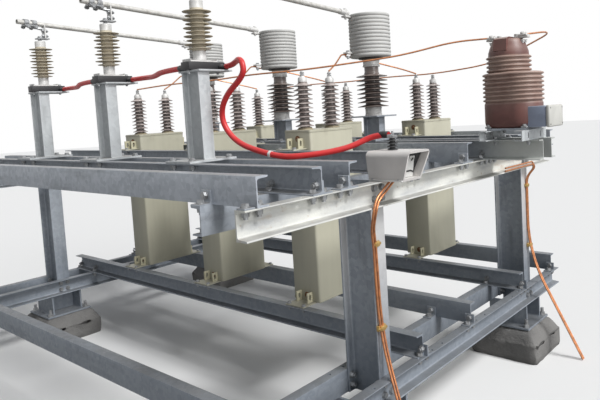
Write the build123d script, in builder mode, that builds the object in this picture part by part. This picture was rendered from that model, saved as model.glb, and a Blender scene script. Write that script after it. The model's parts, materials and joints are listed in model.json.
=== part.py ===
from build123d import *
import os
from math import pi, radians, tan

os.makedirs("parts", exist_ok=True)

# Sizes in millimetres. +Z is up and the ground is at z = 0. The long beams run along X, the channels that
# carry them run along Y, and the front is the arrester side at -Y.

# Share of the pitch at which a rain shed leaves the core, reaches its tip and meets the core again
shed_start = 0.2
shed_tip = 0.32
shed_end = 0.8

# Rolled sections
channel_depth = 100.0
channel_width = 50.0
channel_web = 5.0
channel_flange = 7.5
column_depth = 175.0
column_width = 85.0
column_web = 5.8
column_flange = 8.6
post_depth = 120.0
post_width = 58.0
post_web = 5.0
post_flange = 8.0

# Concrete pedestals and the legs on them
pedestal_length = 430.0
pedestal_width = 400.0
pedestal_edge_height = 105.0
pedestal_height = 180.0
pedestal_top_margin = 25.0
foot_plate_side = 300.0
foot_plate_thickness = 12.0
stub_width = 240.0
stub_depth = 205.0
stub_plate = 12.0
stub_height = 148.0

# Levels and grid of the frame
frame_height = 812.0
frame_width = 3070.0
base_channel_length = 2576.0
top_channel_length = 2478.0
front_leg_station = 720.0
rear_leg_station = 2185.0
lower_beam_overhang = 30.0

# Stations of the beam webs, measured from the near ends of the channels
front_beam_station = 50.0
arrester_front_web = 351.0
arrester_rear_web = 497.0
front_row_front_web = 965.0
front_row_rear_web = 1405.0
reactor_front_web = 1615.0
reactor_rear_web = 1719.0
row_pitch = 1090.0
ct_overhang = 350.0

# Capacitors
phase_pitch = 800.0
can_width = 343.0
can_depth = 190.0
can_height = 906.0
can_corner = 12.0
can_front_gap = 58.0
ear_thickness = 8.0
ear_height = 52.0
ear_reach = 38.0
ear_hole_length = 30.0
ear_hole_width = 14.0
ear_pitch = 78.0
upper_foot_length = 95.0
foot_thickness = 6.0
foot_width = 130.0
bushing_pitch = 214.0
bushing_sheds = 10
bushing_core = 26.0
bushing_shed_radius = 50.0
bushing_shed_pitch = 23.5
bushing_flange_radius = 42.0
bushing_flange_height = 13.0
bushing_cap_radius = 24.0
bushing_cap_height = 34.0
bushing_stud_radius = 8.0
bushing_stud_height = 25.0

# Arresters and their posts
arrester_pitch = 780.0
arrester_row_shift = 20.0
arrester_base_length = 180.0
arrester_post_height = 380.0
base_plate_thickness = 10.0
seat_plate_thickness = 8.0
arrester_seat_length = 150.0
arrester_seat_width = 178.0
arrester_seat_shift = 55.0
arrester_axis_shift = 30.0
arrester_block_length = 190.0
arrester_block_width = 60.0
arrester_block_height = 26.0
arrester_block_shift = 15.0
lead_end_margin = 25.0
arrester_saddle_thickness = 6.0
arrester_saddle_length = 126.0
arrester_core = 29.0
arrester_big_shed = 62.5
arrester_small_shed = 52.5
arrester_shed_pitch = 18.0
arrester_shed_count = 9
arrester_foot_radius = 28.0
arrester_foot_height = 56.0
arrester_cap_radius = 30.0
arrester_cap_height = 37.0
arrester_stud_radius = 8.0

# Reactors, their insulators and posts
reactor_row_station = 1690.0
reactor_post_height = 132.0
reactor_plate_side = 200.0
insulator_cap_radius = 52.0
insulator_foot_height = 51.0
insulator_core = 46.0
insulator_shed_radius = 95.0
insulator_sheds = 8
insulator_shed_pitch = 26.0
insulator_neck_radius = 43.0
insulator_neck_height = 36.0
insulator_cap_height = 40.0
reactor_disc_radius = 75.0
reactor_disc_height = 15.0
reactor_radius = 125.0
reactor_height = 256.0
reactor_ribs = 12
reactor_rib_depth = 6.0
lug_length = 75.0
lug_width = 34.0
lug_thickness = 10.0
lug_reach = 165.0
low_lug_level = 22.0

# Line tubes
tube_radius = 15.0
tube_wall = 3.0
tube_front_level = 905.0
tube_rear_level = 862.0
tube_front_reach = 125.0
tube_side_shift = -60.0
clamp_length = 46.0
clamp_radius = 23.0

# Current transformer
ct_offset = 198.0
ct_station = 1630.0
ct_rail_front = 1459.0
ct_rail_length = 298.0
ct_rail_height = 50.0
ct_rail_width = 38.0
ct_rail_wall = 5.0
ct_rail_spacing = 224.0
ct_plate_thickness = 10.0
ct_plate_length = 200.0
ct_plate_width = 210.0
ct_slot_length = 30.0
ct_slot_width = 11.0
ct_slot_pitch = 150.0
ct_body_length = 300.0
ct_body_width = 250.0
ct_body_round = 110.0
ct_foot_height = 126.0
ct_foot_round = 26.0
ct_core_inset = 12.0
ct_wide_ribs = 7
ct_narrow_ribs = 4
ct_rib_pitch = 21.0
ct_rib_thickness = 9.0
ct_head_radius = 111.0
ct_head_shift = -19.0
ct_head_height = 18.0
ct_cap_radius = 78.0
ct_cap_height = 63.0
ct_crest_width = 76.0
ct_crest_height = 14.0
ct_box_length = 66.0
ct_box_width = 180.0
ct_box_height = 104.0
ct_box_round = 8.0
ct_terminal_length = 72.0
ct_terminal_width = 36.0
ct_terminal_thickness = 12.0

# Surge counter
counter_length = 182.0
counter_width = 158.0
counter_foot_width = 126.0
counter_height = 120.0
counter_left = -20.0
counter_station = 686.0
counter_round = 22.0
counter_foot_set_back = 16.0
counter_hood_reach = 29.0
counter_wall = 9.0
counter_window_depth = 46.0
counter_clamp_side = 32.0
counter_clamp_height = 28.0
counter_insulator_offset = 60.0
counter_shed_radius = 22.0
counter_shed_core = 11.0
counter_sheds = 4
counter_shed_pitch = 12.0

# Conductors and leads
earth_radius = 5.0
earth_spacing = 16.0
wire_radius = 4.5
lead_radius = 12.5
seat_gap = 0.3
tube_seat_gap = 0.9

# Levels
base_bottom = pedestal_height + stub_height
base_top = base_bottom + channel_depth
top_level = base_top + frame_height
top_bottom = top_level - channel_depth
beam_top = top_level + channel_depth
lower_beam_top = base_top + channel_depth

# Plan positions. The box around the whole part is centred on the origin in plan.
left_reach = frame_width - column_depth / 2 + pedestal_length / 2
right_reach = ct_offset + ct_body_length / 2 + ct_box_length
right_web_x = (left_reach - right_reach) / 2
left_web_x = right_web_x - frame_width
front_y = -base_channel_length / 2
frame_middle_x = (right_web_x + left_web_x) / 2
right_leg_x = right_web_x - column_depth / 2
left_leg_x = left_web_x + column_depth / 2
front_leg_y = front_y + front_leg_station
rear_leg_y = front_y + rear_leg_station
beam_right_x = right_web_x + channel_width
beam_left_x = left_web_x - channel_width
can_xs = [frame_middle_x + (phase - 1) * phase_pitch for phase in range(3)]
arrester_xs = [frame_middle_x + arrester_row_shift + (phase - 1) * arrester_pitch for phase in range(3)]
can_front_y = front_y + front_row_front_web + can_front_gap
can_front_ys = [can_front_y, can_front_y + row_pitch]
can_bottom = lower_beam_top + foot_thickness
can_top = can_bottom + can_height
bushing_stud_top = (
    can_top + bushing_flange_height + bushing_sheds * bushing_shed_pitch + bushing_cap_height + bushing_stud_height
)
reactor_y = front_y + reactor_row_station
arrester_y = front_y + (arrester_front_web + arrester_rear_web) / 2
arrester_axis_y = arrester_y + arrester_axis_shift
arrester_plate_top = beam_top + base_plate_thickness + arrester_post_height + seat_plate_thickness
arrester_base = arrester_plate_top + arrester_block_height + arrester_saddle_thickness
reactor_plate_top = beam_top + base_plate_thickness + reactor_post_height + seat_plate_thickness
insulator_shed_end = insulator_foot_height + insulator_sheds * insulator_shed_pitch
insulator_neck_end = insulator_shed_end + insulator_neck_height
insulator_top = reactor_plate_top + insulator_neck_end + insulator_cap_height
reactor_base = insulator_top + reactor_disc_height
tube_front_z = top_level + tube_front_level
tube_rear_z = top_level + tube_rear_level
ct_x = right_web_x + ct_offset
ct_y = front_y + ct_station
ct_base = beam_top + ct_rail_height + ct_plate_thickness
ct_rib_base = ct_base + ct_foot_height
ct_rib_top = ct_rib_base + (ct_wide_ribs + ct_narrow_ribs) * ct_rib_pitch
ct_head_x = ct_x + ct_head_shift
ct_head_top = ct_rib_top + ct_head_height + ct_cap_height


def write(part, name):
    part.label = name
    export_step(part, f"parts/{name}.step")


# Outline of a rolled channel: the web's back is on the local Y axis and the flanges point along local +X
def channel_outline():
    Polyline(
        (0, 0),
        (channel_width, 0),
        (channel_width, channel_flange),
        (channel_web, channel_flange),
        (channel_web, channel_depth - channel_flange),
        (channel_width, channel_depth - channel_flange),
        (channel_width, channel_depth),
        (0, channel_depth),
        close=True,
    )


# Outline of an I section with its depth along local X
def i_outline(depth, width, web, flange):
    Rectangle(depth, web)
    with GridLocations(depth - flange, 0, 2, 1):
        Rectangle(flange, width)


# A channel along Y: the web's back at web_x, the flanges towards side (+1 or -1), its underside at level
def channel_along_y(web_x, side, level, length):
    profile_plane = Plane((web_x, front_y, level), x_dir=(side, 0, 0), z_dir=(0, -side, 0))
    with BuildPart() as bar:
        with BuildSketch(profile_plane):
            with BuildLine():
                channel_outline()
            make_face()
        extrude(amount=-side * length)
    return bar.part


# A channel along X: the web's face at web_y, the flanges towards side (+1 or -1)
def channel_along_x(web_y, side, level, left_x, right_x):
    start = left_x if side > 0 else right_x
    profile_plane = Plane((start, web_y, level), x_dir=(0, side, 0), z_dir=(side, 0, 0))
    with BuildPart() as bar:
        with BuildSketch(profile_plane):
            with BuildLine():
                channel_outline()
            make_face()
        extrude(amount=right_x - left_x)
    return bar.part


# Concrete pedestals: upright sides, then a hipped top that drains away from the foot plate
leg_spots = {
    "front_right": (right_leg_x, front_leg_y),
    "rear_right": (right_leg_x, rear_leg_y),
    "front_left": (left_leg_x, front_leg_y),
    "rear_left": (left_leg_x, rear_leg_y),
}
pedestal_top_side = foot_plate_side + pedestal_top_margin
for spot, (leg_x, leg_y) in leg_spots.items():
    with BuildPart() as pedestal:
        with BuildSketch(Plane((leg_x, leg_y, 0))):
            Rectangle(pedestal_length, pedestal_width)
        extrude(amount=pedestal_edge_height)
        with BuildSketch(Plane((leg_x, leg_y, pedestal_edge_height))):
            Rectangle(pedestal_length, pedestal_width)
        with BuildSketch(Plane((leg_x, leg_y, pedestal_height))):
            Rectangle(pedestal_top_side, pedestal_top_side)
        loft()
    write(pedestal.part, f"pedestal_{spot}")

# Legs: foot plate, wide stub below the base channels, and the column up between the channel webs
for spot, (leg_x, leg_y) in leg_spots.items():
    with BuildPart() as leg:
        with BuildSketch(Plane((leg_x, leg_y, pedestal_height))):
            Rectangle(foot_plate_side, foot_plate_side)
        extrude(amount=foot_plate_thickness)
        with BuildSketch(Plane((leg_x, leg_y, pedestal_height + foot_plate_thickness))):
            Rectangle(stub_plate, stub_depth)
            with GridLocations(0, stub_depth - stub_plate, 1, 2):
                Rectangle(stub_width, stub_plate)
        extrude(amount=stub_height - foot_plate_thickness)
        with BuildSketch(Plane((leg_x, leg_y, base_bottom))):
            i_outline(column_depth, column_width, column_web, column_flange)
        extrude(amount=top_level - base_bottom)
    write(leg.part, f"leg_{spot}")

# Base and top channels, back to back with the columns between their webs
channel_webs = {
    "right": ((right_web_x, 1), (right_web_x - column_depth, -1)),
    "left": ((left_web_x, -1), (left_web_x + column_depth, 1)),
}
for side_name, webs in channel_webs.items():
    pair = [channel_along_y(web_x, side, base_bottom, base_channel_length) for web_x, side in webs]
    write(Compound(children=pair), f"base_channels_{side_name}")
outer_web, inner_web = channel_webs["right"]
write(channel_along_y(*outer_web, top_bottom, top_channel_length), "top_channel_right_outer")
write(channel_along_y(*inner_web, top_bottom, top_channel_length), "top_channel_right_inner")
pair = [channel_along_y(web_x, side, top_bottom, top_channel_length) for web_x, side in channel_webs["left"]]
write(Compound(children=pair), "top_channels_left")

# Lower beams on the base channels: the web's station and the side that its flanges point to
lower_beams = {
    "front": (front_beam_station, 1),
    "front_row_front": (front_row_front_web, -1),
    "front_row_rear": (front_row_rear_web, 1),
    "rear_row_front": (front_row_front_web + row_pitch, -1),
    "rear_row_rear": (front_row_rear_web + row_pitch, 1),
}
for beam_name, (station, side) in lower_beams.items():
    left_end = left_web_x - lower_beam_overhang
    right_end = right_web_x + lower_beam_overhang
    write(channel_along_x(front_y + station, side, base_top, left_end, right_end), f"lower_beam_{beam_name}")

# Upper beams on the top channels
upper_beams = {
    "front": [(front_beam_station, 1, beam_right_x)],
    "arresters": [(arrester_front_web, -1, beam_right_x), (arrester_rear_web, 1, beam_right_x)],
    "front_row_front": [(front_row_front_web, -1, beam_right_x)],
    "front_row_rear": [(front_row_rear_web, 1, beam_right_x)],
    "reactors": [
        (reactor_front_web, -1, right_web_x + ct_overhang),
        (reactor_rear_web, 1, right_web_x + ct_overhang),
    ],
    "rear_row_front": [(front_row_front_web + row_pitch, -1, beam_right_x)],
    "rear_row_rear": [(front_row_rear_web + row_pitch, 1, beam_right_x)],
}
for beam_name, beams in upper_beams.items():
    bars = [
        channel_along_x(front_y + station, side, top_level, beam_left_x, right_end)
        for station, side, right_end in beams
    ]
    write(bars[0] if len(bars) == 1 else Compound(children=bars), f"upper_beam_{beam_name}")

# Capacitor cans: a rounded steel case on a foot strap that lies on both lower beams, with a foot on each upper
# beam and a pair of upright ear plates with long holes above every foot
ear_levels = (can_bottom, beam_top + foot_thickness)
row_names = ("front", "rear")
for row_name, row_y in zip(row_names, can_front_ys):
    for phase, can_x in enumerate(can_xs):
        middle_y = row_y + can_width / 2
        strap_front = row_y - can_front_gap - channel_width / 2
        strap_rear = row_y - can_front_gap + (front_row_rear_web - front_row_front_web) + channel_width / 2
        with BuildPart() as can:
            with BuildSketch(Plane((can_x, middle_y, can_bottom))):
                RectangleRounded(can_depth, can_width, can_corner)
            extrude(amount=can_height)
            fillet(can.faces().sort_by(Axis.Z)[-1].edges(), radius=can_corner / 2)
            for end in (-1, 1):
                face_y = middle_y + end * can_width / 2
                for level in ear_levels:
                    ear_plane = Plane(
                        (can_x, face_y, level + ear_height / 2), x_dir=(0, end, 0), z_dir=(1, 0, 0)
                    )
                    for across in (-ear_pitch / 2, ear_pitch / 2):
                        with BuildSketch(ear_plane.offset(across - ear_thickness / 2)):
                            with Locations((ear_reach / 2, 0)):
                                Rectangle(ear_reach, ear_height)
                                SlotOverall(ear_hole_length, ear_hole_width, rotation=90, mode=Mode.SUBTRACT)
                        extrude(amount=ear_thickness)
                with BuildSketch(Plane((can_x, face_y + end * upper_foot_length / 2, beam_top))):
                    Rectangle(foot_width, upper_foot_length)
                extrude(amount=foot_thickness)
            with BuildSketch(Plane((can_x, (strap_front + strap_rear) / 2, lower_beam_top))):
                Rectangle(foot_width, strap_rear - strap_front)
            extrude(amount=foot_thickness)
        write(can.part, f"capacitor_{row_name}_{phase + 1}")


# Half outline of rain sheds on a core, as (radius, height) points from the level base up
def shed_points(base, core, pitch, radii):
    points = [(core, base)]
    for index, radius in enumerate(radii):
        root = base + index * pitch
        points.append((core, root + pitch * shed_start))
        points.append((radius, root + pitch * shed_tip))
        points.append((core, root + pitch * shed_end))
    points.append((core, base + len(radii) * pitch))
    return points


# A solid turned about the upright axis at x, y from a half outline whose heights start at base
def turned(x, y, base, outline):
    with BuildPart() as piece:
        with BuildSketch(Plane((x, y, base), x_dir=(1, 0, 0), z_dir=(0, -1, 0))):
            with BuildLine():
                Polyline((0, 0), *outline, (0, outline[-1][1]), close=True)
            make_face()
        revolve(axis=Axis((x, y, base), (0, 0, 1)))
    return piece.part


# Porcelain bushings, two on each can, with their flange below and their cap and stud above
bushing_shed_end = bushing_flange_height + bushing_sheds * bushing_shed_pitch
bushing_outline = [
    (bushing_flange_radius, 0),
    (bushing_flange_radius, bushing_flange_height),
    *shed_points(bushing_flange_height, bushing_core, bushing_shed_pitch, [bushing_shed_radius] * bushing_sheds),
    (bushing_cap_radius, bushing_shed_end),
    (bushing_cap_radius, bushing_shed_end + bushing_cap_height),
    (bushing_stud_radius, bushing_shed_end + bushing_cap_height),
    (bushing_stud_radius, bushing_shed_end + bushing_cap_height + bushing_stud_height),
]
for row_name, row_y in zip(row_names, can_front_ys):
    bushings = []
    for can_x in can_xs:
        for offset in (-bushing_pitch / 2, bushing_pitch / 2):
            bushings.append(turned(can_x, row_y + can_width / 2 + offset, can_top, bushing_outline))
    write(Compound(children=bushings), f"bushings_{row_name}_row")


# An I-section post with its base plate and its seat plate, each plate given as (length, width, shift in Y)
def post(x, y, height, base, seat):
    plates = ((base, 0, base_plate_thickness), (seat, base_plate_thickness + height, seat_plate_thickness))
    with BuildPart() as built:
        for (length, width, shift), level, thickness in plates:
            with BuildSketch(Plane((x, y + shift, beam_top + level))):
                Rectangle(length, width)
            extrude(amount=thickness)
        with BuildSketch(Plane((x, y, beam_top + base_plate_thickness))):
            i_outline(post_depth, post_width, post_web, post_flange)
        extrude(amount=height)
    return built.part


arrester_base_plate = (arrester_base_length, arrester_rear_web - arrester_front_web + 2 * channel_width, 0)
arrester_seat_plate = (arrester_seat_length, arrester_seat_width, arrester_seat_shift)
arrester_posts = [
    post(x, arrester_y, arrester_post_height, arrester_base_plate, arrester_seat_plate) for x in arrester_xs
]
write(Compound(children=arrester_posts), "arrester_posts")
reactor_base_plate = (
    reactor_plate_side,
    reactor_rear_web - reactor_front_web + 2 * channel_width,
    (reactor_front_web + reactor_rear_web) / 2 - reactor_row_station,
)
reactor_seat_plate = (reactor_plate_side, reactor_plate_side, 0)
reactor_posts = [post(x, reactor_y, reactor_post_height, reactor_base_plate, reactor_seat_plate) for x in can_xs]
write(Compound(children=reactor_posts), "reactor_posts")

# Arresters: insulated base block, saddle, housing with alternating sheds, caps and stud
shed_radii = [arrester_big_shed if index % 2 == 0 else arrester_small_shed for index in range(arrester_shed_count)]
arrester_shed_end = arrester_foot_height + arrester_shed_count * arrester_shed_pitch
arrester_stud_top = tube_front_z - clamp_radius - tube_seat_gap - arrester_base
arrester_outline = [
    (arrester_foot_radius, 0),
    (arrester_foot_radius, arrester_foot_height),
    *shed_points(arrester_foot_height, arrester_core, arrester_shed_pitch, shed_radii),
    (arrester_cap_radius, arrester_shed_end),
    (arrester_cap_radius, arrester_shed_end + arrester_cap_height),
    (arrester_stud_radius, arrester_shed_end + arrester_cap_height),
    (arrester_stud_radius, arrester_stud_top),
]
for phase, x in enumerate(arrester_xs):
    with BuildPart() as arrester:
        with BuildSketch(Plane((x, arrester_axis_y + arrester_block_shift, arrester_plate_top))):
            Rectangle(arrester_block_width, arrester_block_length)
        extrude(amount=arrester_block_height)
        with BuildSketch(Plane((x, arrester_axis_y, arrester_plate_top + arrester_block_height))):
            Rectangle(arrester_block_width, arrester_saddle_length)
        extrude(amount=arrester_saddle_thickness)
        add(turned(x, arrester_axis_y, arrester_base, arrester_outline))
    write(arrester.part, f"arrester_{phase + 1}")

# Post insulators below the reactors: foot cap, brown sheds, bare neck and top cap
insulator_sheds_radii = [insulator_shed_radius] * insulator_sheds
insulator_outline = [
    (insulator_cap_radius, 0),
    (insulator_cap_radius, insulator_foot_height),
    *shed_points(insulator_foot_height, insulator_core, insulator_shed_pitch, insulator_sheds_radii),
    (insulator_neck_radius, insulator_shed_end),
    (insulator_neck_radius, insulator_neck_end),
    (insulator_cap_radius, insulator_neck_end),
    (insulator_cap_radius, insulator_neck_end + insulator_cap_height),
]
insulators = [turned(x, reactor_y, reactor_plate_top, insulator_outline) for x in can_xs]
write(Compound(children=insulators), "reactor_insulators")

# Reactors: a disc on the insulator and a cast winding with rounded ribs, one lug low and one high
rib_pitch = reactor_height / reactor_ribs
rib_root = reactor_radius - reactor_rib_depth
reactor_outline = [(reactor_disc_radius, 0), (reactor_disc_radius, reactor_disc_height)]
for rib in range(reactor_ribs):
    reactor_outline.append((rib_root, reactor_disc_height + rib * rib_pitch))
    reactor_outline.append((reactor_radius, reactor_disc_height + (rib + 0.25) * rib_pitch))
    reactor_outline.append((reactor_radius, reactor_disc_height + (rib + 0.75) * rib_pitch))
reactor_outline.append((rib_root, reactor_disc_height + reactor_height))
lug_y = reactor_y - lug_reach + lug_length / 2
high_lug_level = tube_rear_z - tube_radius - tube_seat_gap - lug_thickness
for phase, x in enumerate(can_xs):
    with BuildPart() as reactor:
        add(turned(x, reactor_y, insulator_top, reactor_outline))
        for level in (reactor_base + low_lug_level, high_lug_level):
            with BuildSketch(Plane((x + tube_side_shift, lug_y, level))):
                Rectangle(lug_width, lug_length)
            extrude(amount=lug_thickness)
    write(reactor.part, f"reactor_{phase + 1}")

# Line tubes: hollow aluminium tubes from ahead of each arrester, over its stud, to the reactor's upper lug
tubes = []
for arrester_x, reactor_x in zip(arrester_xs, can_xs):
    over_stud = Vector(arrester_x, arrester_axis_y, tube_front_z)
    over_lug = Vector(reactor_x + tube_side_shift, lug_y, tube_rear_z)
    direction = (over_lug - over_stud).normalized()
    start = over_stud - direction * tube_front_reach
    with BuildPart() as tube:
        with BuildSketch(Plane(start, z_dir=direction)):
            Circle(tube_radius)
            Circle(tube_radius - tube_wall, mode=Mode.SUBTRACT)
        extrude(amount=(over_lug - start).length)
        with BuildSketch(Plane(over_stud - direction * (clamp_length / 2), z_dir=direction)):
            Circle(clamp_radius)
            Circle(tube_radius, mode=Mode.SUBTRACT)
        extrude(amount=clamp_length)
    tubes.append(tube.part)
write(Compound(children=tubes), "line_tubes")

# Current transformer's frame: two slotted channels across the reactor beams' free ends and a plate on them
rails = []
rail_front_y = front_y + ct_rail_front
rail_middle_y = rail_front_y + ct_rail_length / 2
for side in (-1, 1):
    rail_web_x = ct_x + side * ct_rail_spacing / 2
    rail_plane = Plane((rail_web_x, rail_front_y, beam_top), x_dir=(-side, 0, 0), z_dir=(0, side, 0))
    slot_plane = Plane((rail_web_x, rail_middle_y, beam_top + ct_rail_height / 2), x_dir=(0, 1, 0), z_dir=(1, 0, 0))
    with BuildPart() as rail:
        with BuildSketch(rail_plane):
            with BuildLine():
                Polyline(
                    (0, 0),
                    (ct_rail_width, 0),
                    (ct_rail_width, ct_rail_wall),
                    (ct_rail_wall, ct_rail_wall),
                    (ct_rail_wall, ct_rail_height - ct_rail_wall),
                    (ct_rail_width, ct_rail_height - ct_rail_wall),
                    (ct_rail_width, ct_rail_height),
                    (0, ct_rail_height),
                    close=True,
                )
            make_face()
        extrude(amount=side * ct_rail_length)
        with BuildSketch(slot_plane):
            with GridLocations(ct_slot_pitch, 0, 2, 1):
                SlotOverall(ct_slot_length, ct_slot_width, rotation=90)
        extrude(amount=2 * ct_rail_wall, both=True, mode=Mode.SUBTRACT)
    rails.append(rail.part)
write(Compound(children=rails), "ct_rails")
with BuildPart() as ct_plate:
    with BuildSketch(Plane((ct_x, ct_y, beam_top + ct_rail_height))):
        Rectangle(ct_plate_length, ct_plate_width)
    extrude(amount=ct_plate_thickness)
write(ct_plate.part, "ct_plate")

# Current transformer body: smooth rounded foot, wide ribs, narrower ribs round the head, tapered head with a crest
with BuildPart() as ct_body:
    with BuildSketch(Plane((ct_x, ct_y, ct_base))):
        RectangleRounded(ct_body_length, ct_body_width, ct_body_round)
    extrude(amount=ct_foot_height)
    fillet(ct_body.faces().sort_by(Axis.Z)[0].edges(), radius=ct_foot_round)
    with BuildSketch(Plane((ct_x, ct_y, ct_rib_base))):
        RectangleRounded(
            ct_body_length - 2 * ct_core_inset, ct_body_width - 2 * ct_core_inset, ct_body_round - ct_core_inset
        )
    extrude(amount=ct_wide_ribs * ct_rib_pitch)
    with BuildSketch(Plane((ct_head_x, ct_y, ct_rib_base))):
        Circle(ct_head_radius - ct_core_inset)
    extrude(amount=ct_rib_top - ct_rib_base)
    for rib in range(ct_wide_ribs):
        with BuildSketch(Plane((ct_x, ct_y, ct_rib_base + (rib + 0.7) * ct_rib_pitch))):
            RectangleRounded(ct_body_length, ct_body_width, ct_body_round)
        extrude(amount=ct_rib_thickness / 2, both=True, taper=30)
    for rib in range(ct_narrow_ribs):
        with BuildSketch(Plane((ct_head_x, ct_y, ct_rib_base + (ct_wide_ribs + rib + 0.7) * ct_rib_pitch))):
            Circle(ct_head_radius)
        extrude(amount=ct_rib_thickness / 2, both=True, taper=30)
    with BuildSketch(Plane((ct_head_x, ct_y, ct_rib_top))):
        Circle(ct_head_radius)
    extrude(amount=ct_head_height)
    with BuildSketch(Plane((ct_head_x, ct_y, ct_rib_top + ct_head_height))):
        Circle(ct_head_radius)
    with BuildSketch(Plane((ct_head_x, ct_y, ct_head_top))):
        Circle(ct_cap_radius)
    loft()
    with BuildSketch(Plane((ct_head_x, ct_y, ct_head_top))):
        Rectangle(ct_crest_width, ct_body_width / 2)
    extrude(amount=ct_crest_height)
write(ct_body.part, "ct_body")

# Secondary terminal box on the transformer's free side
ct_box_x = ct_x + ct_body_length / 2 + ct_box_length / 2
with BuildPart() as ct_box:
    with BuildSketch(Plane((ct_box_x, ct_y, ct_base))):
        RectangleRounded(ct_box_length, ct_box_width, ct_box_round)
    extrude(amount=ct_box_height)
write(ct_box.part, "ct_terminal_box")

# Primary terminal bars on the transformer's head, one on each side of the crest
terminals = []
for side in (-1, 1):
    terminal_x = ct_head_x + side * (ct_crest_width / 2 + seat_gap + ct_terminal_length / 2)
    with BuildPart() as terminal:
        with BuildSketch(Plane((terminal_x, ct_y, ct_head_top))):
            Rectangle(ct_terminal_length, ct_terminal_width)
        extrude(amount=ct_terminal_thickness)
    terminals.append(terminal.part)
write(Compound(children=terminals), "ct_terminals")

# Surge counter: cast shell that widens to the top, with a raked window that is open behind its rim
counter_x = right_web_x + counter_left
counter_y = front_y + counter_station
counter_middle_y = counter_y + counter_width / 2
counter_side = Plane((counter_x, counter_y + counter_width, top_level), x_dir=(1, 0, 0), z_dir=(0, -1, 0))
counter_end = Plane((counter_x, counter_middle_y, top_level), x_dir=(0, 1, 0), z_dir=(1, 0, 0))
counter_front_foot = counter_length - counter_foot_set_back
counter_front_top = counter_length + counter_hood_reach


# Outline of the shell seen from its open end, narrower at the foot, with the wall's thickness taken off all round
def counter_end_outline(wall):
    foot = counter_foot_width / 2 - wall
    top = counter_width / 2 - wall
    Polyline((-foot, wall), (foot, wall), (top, counter_height - wall), (-top, counter_height - wall), close=True)


with BuildPart() as counter_window:
    with BuildSketch(counter_side):
        with BuildLine():
            Polyline(
                (counter_front_foot - counter_window_depth, counter_wall),
                (counter_front_top, counter_wall),
                (counter_front_top + counter_wall, counter_height - counter_wall),
                (counter_front_top - counter_window_depth, counter_height - counter_wall),
                close=True,
            )
        make_face()
    extrude(amount=counter_width)
    with BuildSketch(counter_end):
        with BuildLine():
            counter_end_outline(counter_wall)
        make_face()
    extrude(amount=counter_front_top + 2 * counter_wall, mode=Mode.INTERSECT)
with BuildPart() as counter:
    with BuildSketch(counter_side):
        with BuildLine():
            Polyline(
                (0, 0),
                (counter_front_foot, 0),
                (counter_front_top, counter_height),
                (0, counter_height),
                close=True,
            )
        make_face()
    extrude(amount=counter_width)
    with BuildSketch(counter_end):
        with BuildLine():
            counter_end_outline(0)
        make_face()
    extrude(amount=counter_front_top, mode=Mode.INTERSECT)
    fillet(counter.faces().sort_by(Axis.Z)[-1].edges().filter_by(Axis.X), radius=counter_round)
    add(counter_window.part, mode=Mode.SUBTRACT)
write(counter.part, "surge_counter")

# Small shed insulator on top of the counter, with a square clamp for the lead
counter_pin_x = right_web_x + counter_insulator_offset
counter_pin_y = counter_middle_y
counter_pin_base = top_level + counter_height
counter_shed_top = counter_pin_base + counter_sheds * counter_shed_pitch
counter_radii = [counter_shed_radius] * counter_sheds
counter_pin_outline = shed_points(0, counter_shed_core, counter_shed_pitch, counter_radii)
with BuildPart() as counter_insulator:
    add(turned(counter_pin_x, counter_pin_y, counter_pin_base, counter_pin_outline))
    with BuildSketch(Plane((counter_pin_x, counter_pin_y, counter_shed_top))):
        Rectangle(counter_clamp_side, counter_clamp_side)
    extrude(amount=counter_clamp_height)
write(counter_insulator.part, "counter_insulator")


# A round conductor or lead along a list of points, with an arc at each corner as large as its runs allow
def swept_tube(points, radius):
    corners = [Vector(*point) for point in points]
    radii = []
    for before, corner, after in zip(corners, corners[1:], corners[2:]):
        turn = radians((corner - before).get_angle(after - corner))
        shorter = min((corner - before).length, (after - corner).length)
        radii.append(0.45 * shorter / tan(turn / 2))
    with BuildPart() as tube:
        with BuildLine() as route:
            FilletPolyline(*corners, radius=radii)
        start = route.wires()[0]
        with BuildSketch(Plane(start @ 0, z_dir=start % 0)):
            Circle(radius)
        sweep()
    shortest = min(radii)
    length = start.length
    share = tube.part.volume / (pi * radius * radius * length)
    print(f"length {length:.0f} smallest radius {shortest:.0f} volume ratio {share:.4f}")
    return tube.part


# Red insulated earth leads: arrester base 1 to 2, 2 to 3, and from 3 down to the counter's clamp
lead_level = arrester_plate_top + arrester_block_height / 2
block_side = arrester_block_width / 2
lead_out_y = arrester_axis_y + arrester_block_shift + arrester_block_length / 2 - lead_end_margin
lead_in_y = arrester_axis_y + arrester_block_shift - arrester_block_length / 2 + lead_end_margin
for index in (0, 1):
    start_x = arrester_xs[index] + block_side
    end_x = arrester_xs[index + 1] - block_side
    span = end_x - start_x
    lead_route = [
        (start_x, lead_out_y, lead_level),
        (start_x + span / 4, lead_out_y, lead_level),
        (start_x + span / 2, (lead_out_y + lead_in_y) / 2, lead_level - 10),
        (end_x - span / 4, lead_in_y, lead_level),
        (end_x, lead_in_y, lead_level),
    ]
    write(swept_tube(lead_route, lead_radius), f"earth_lead_{index + 1}")

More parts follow.
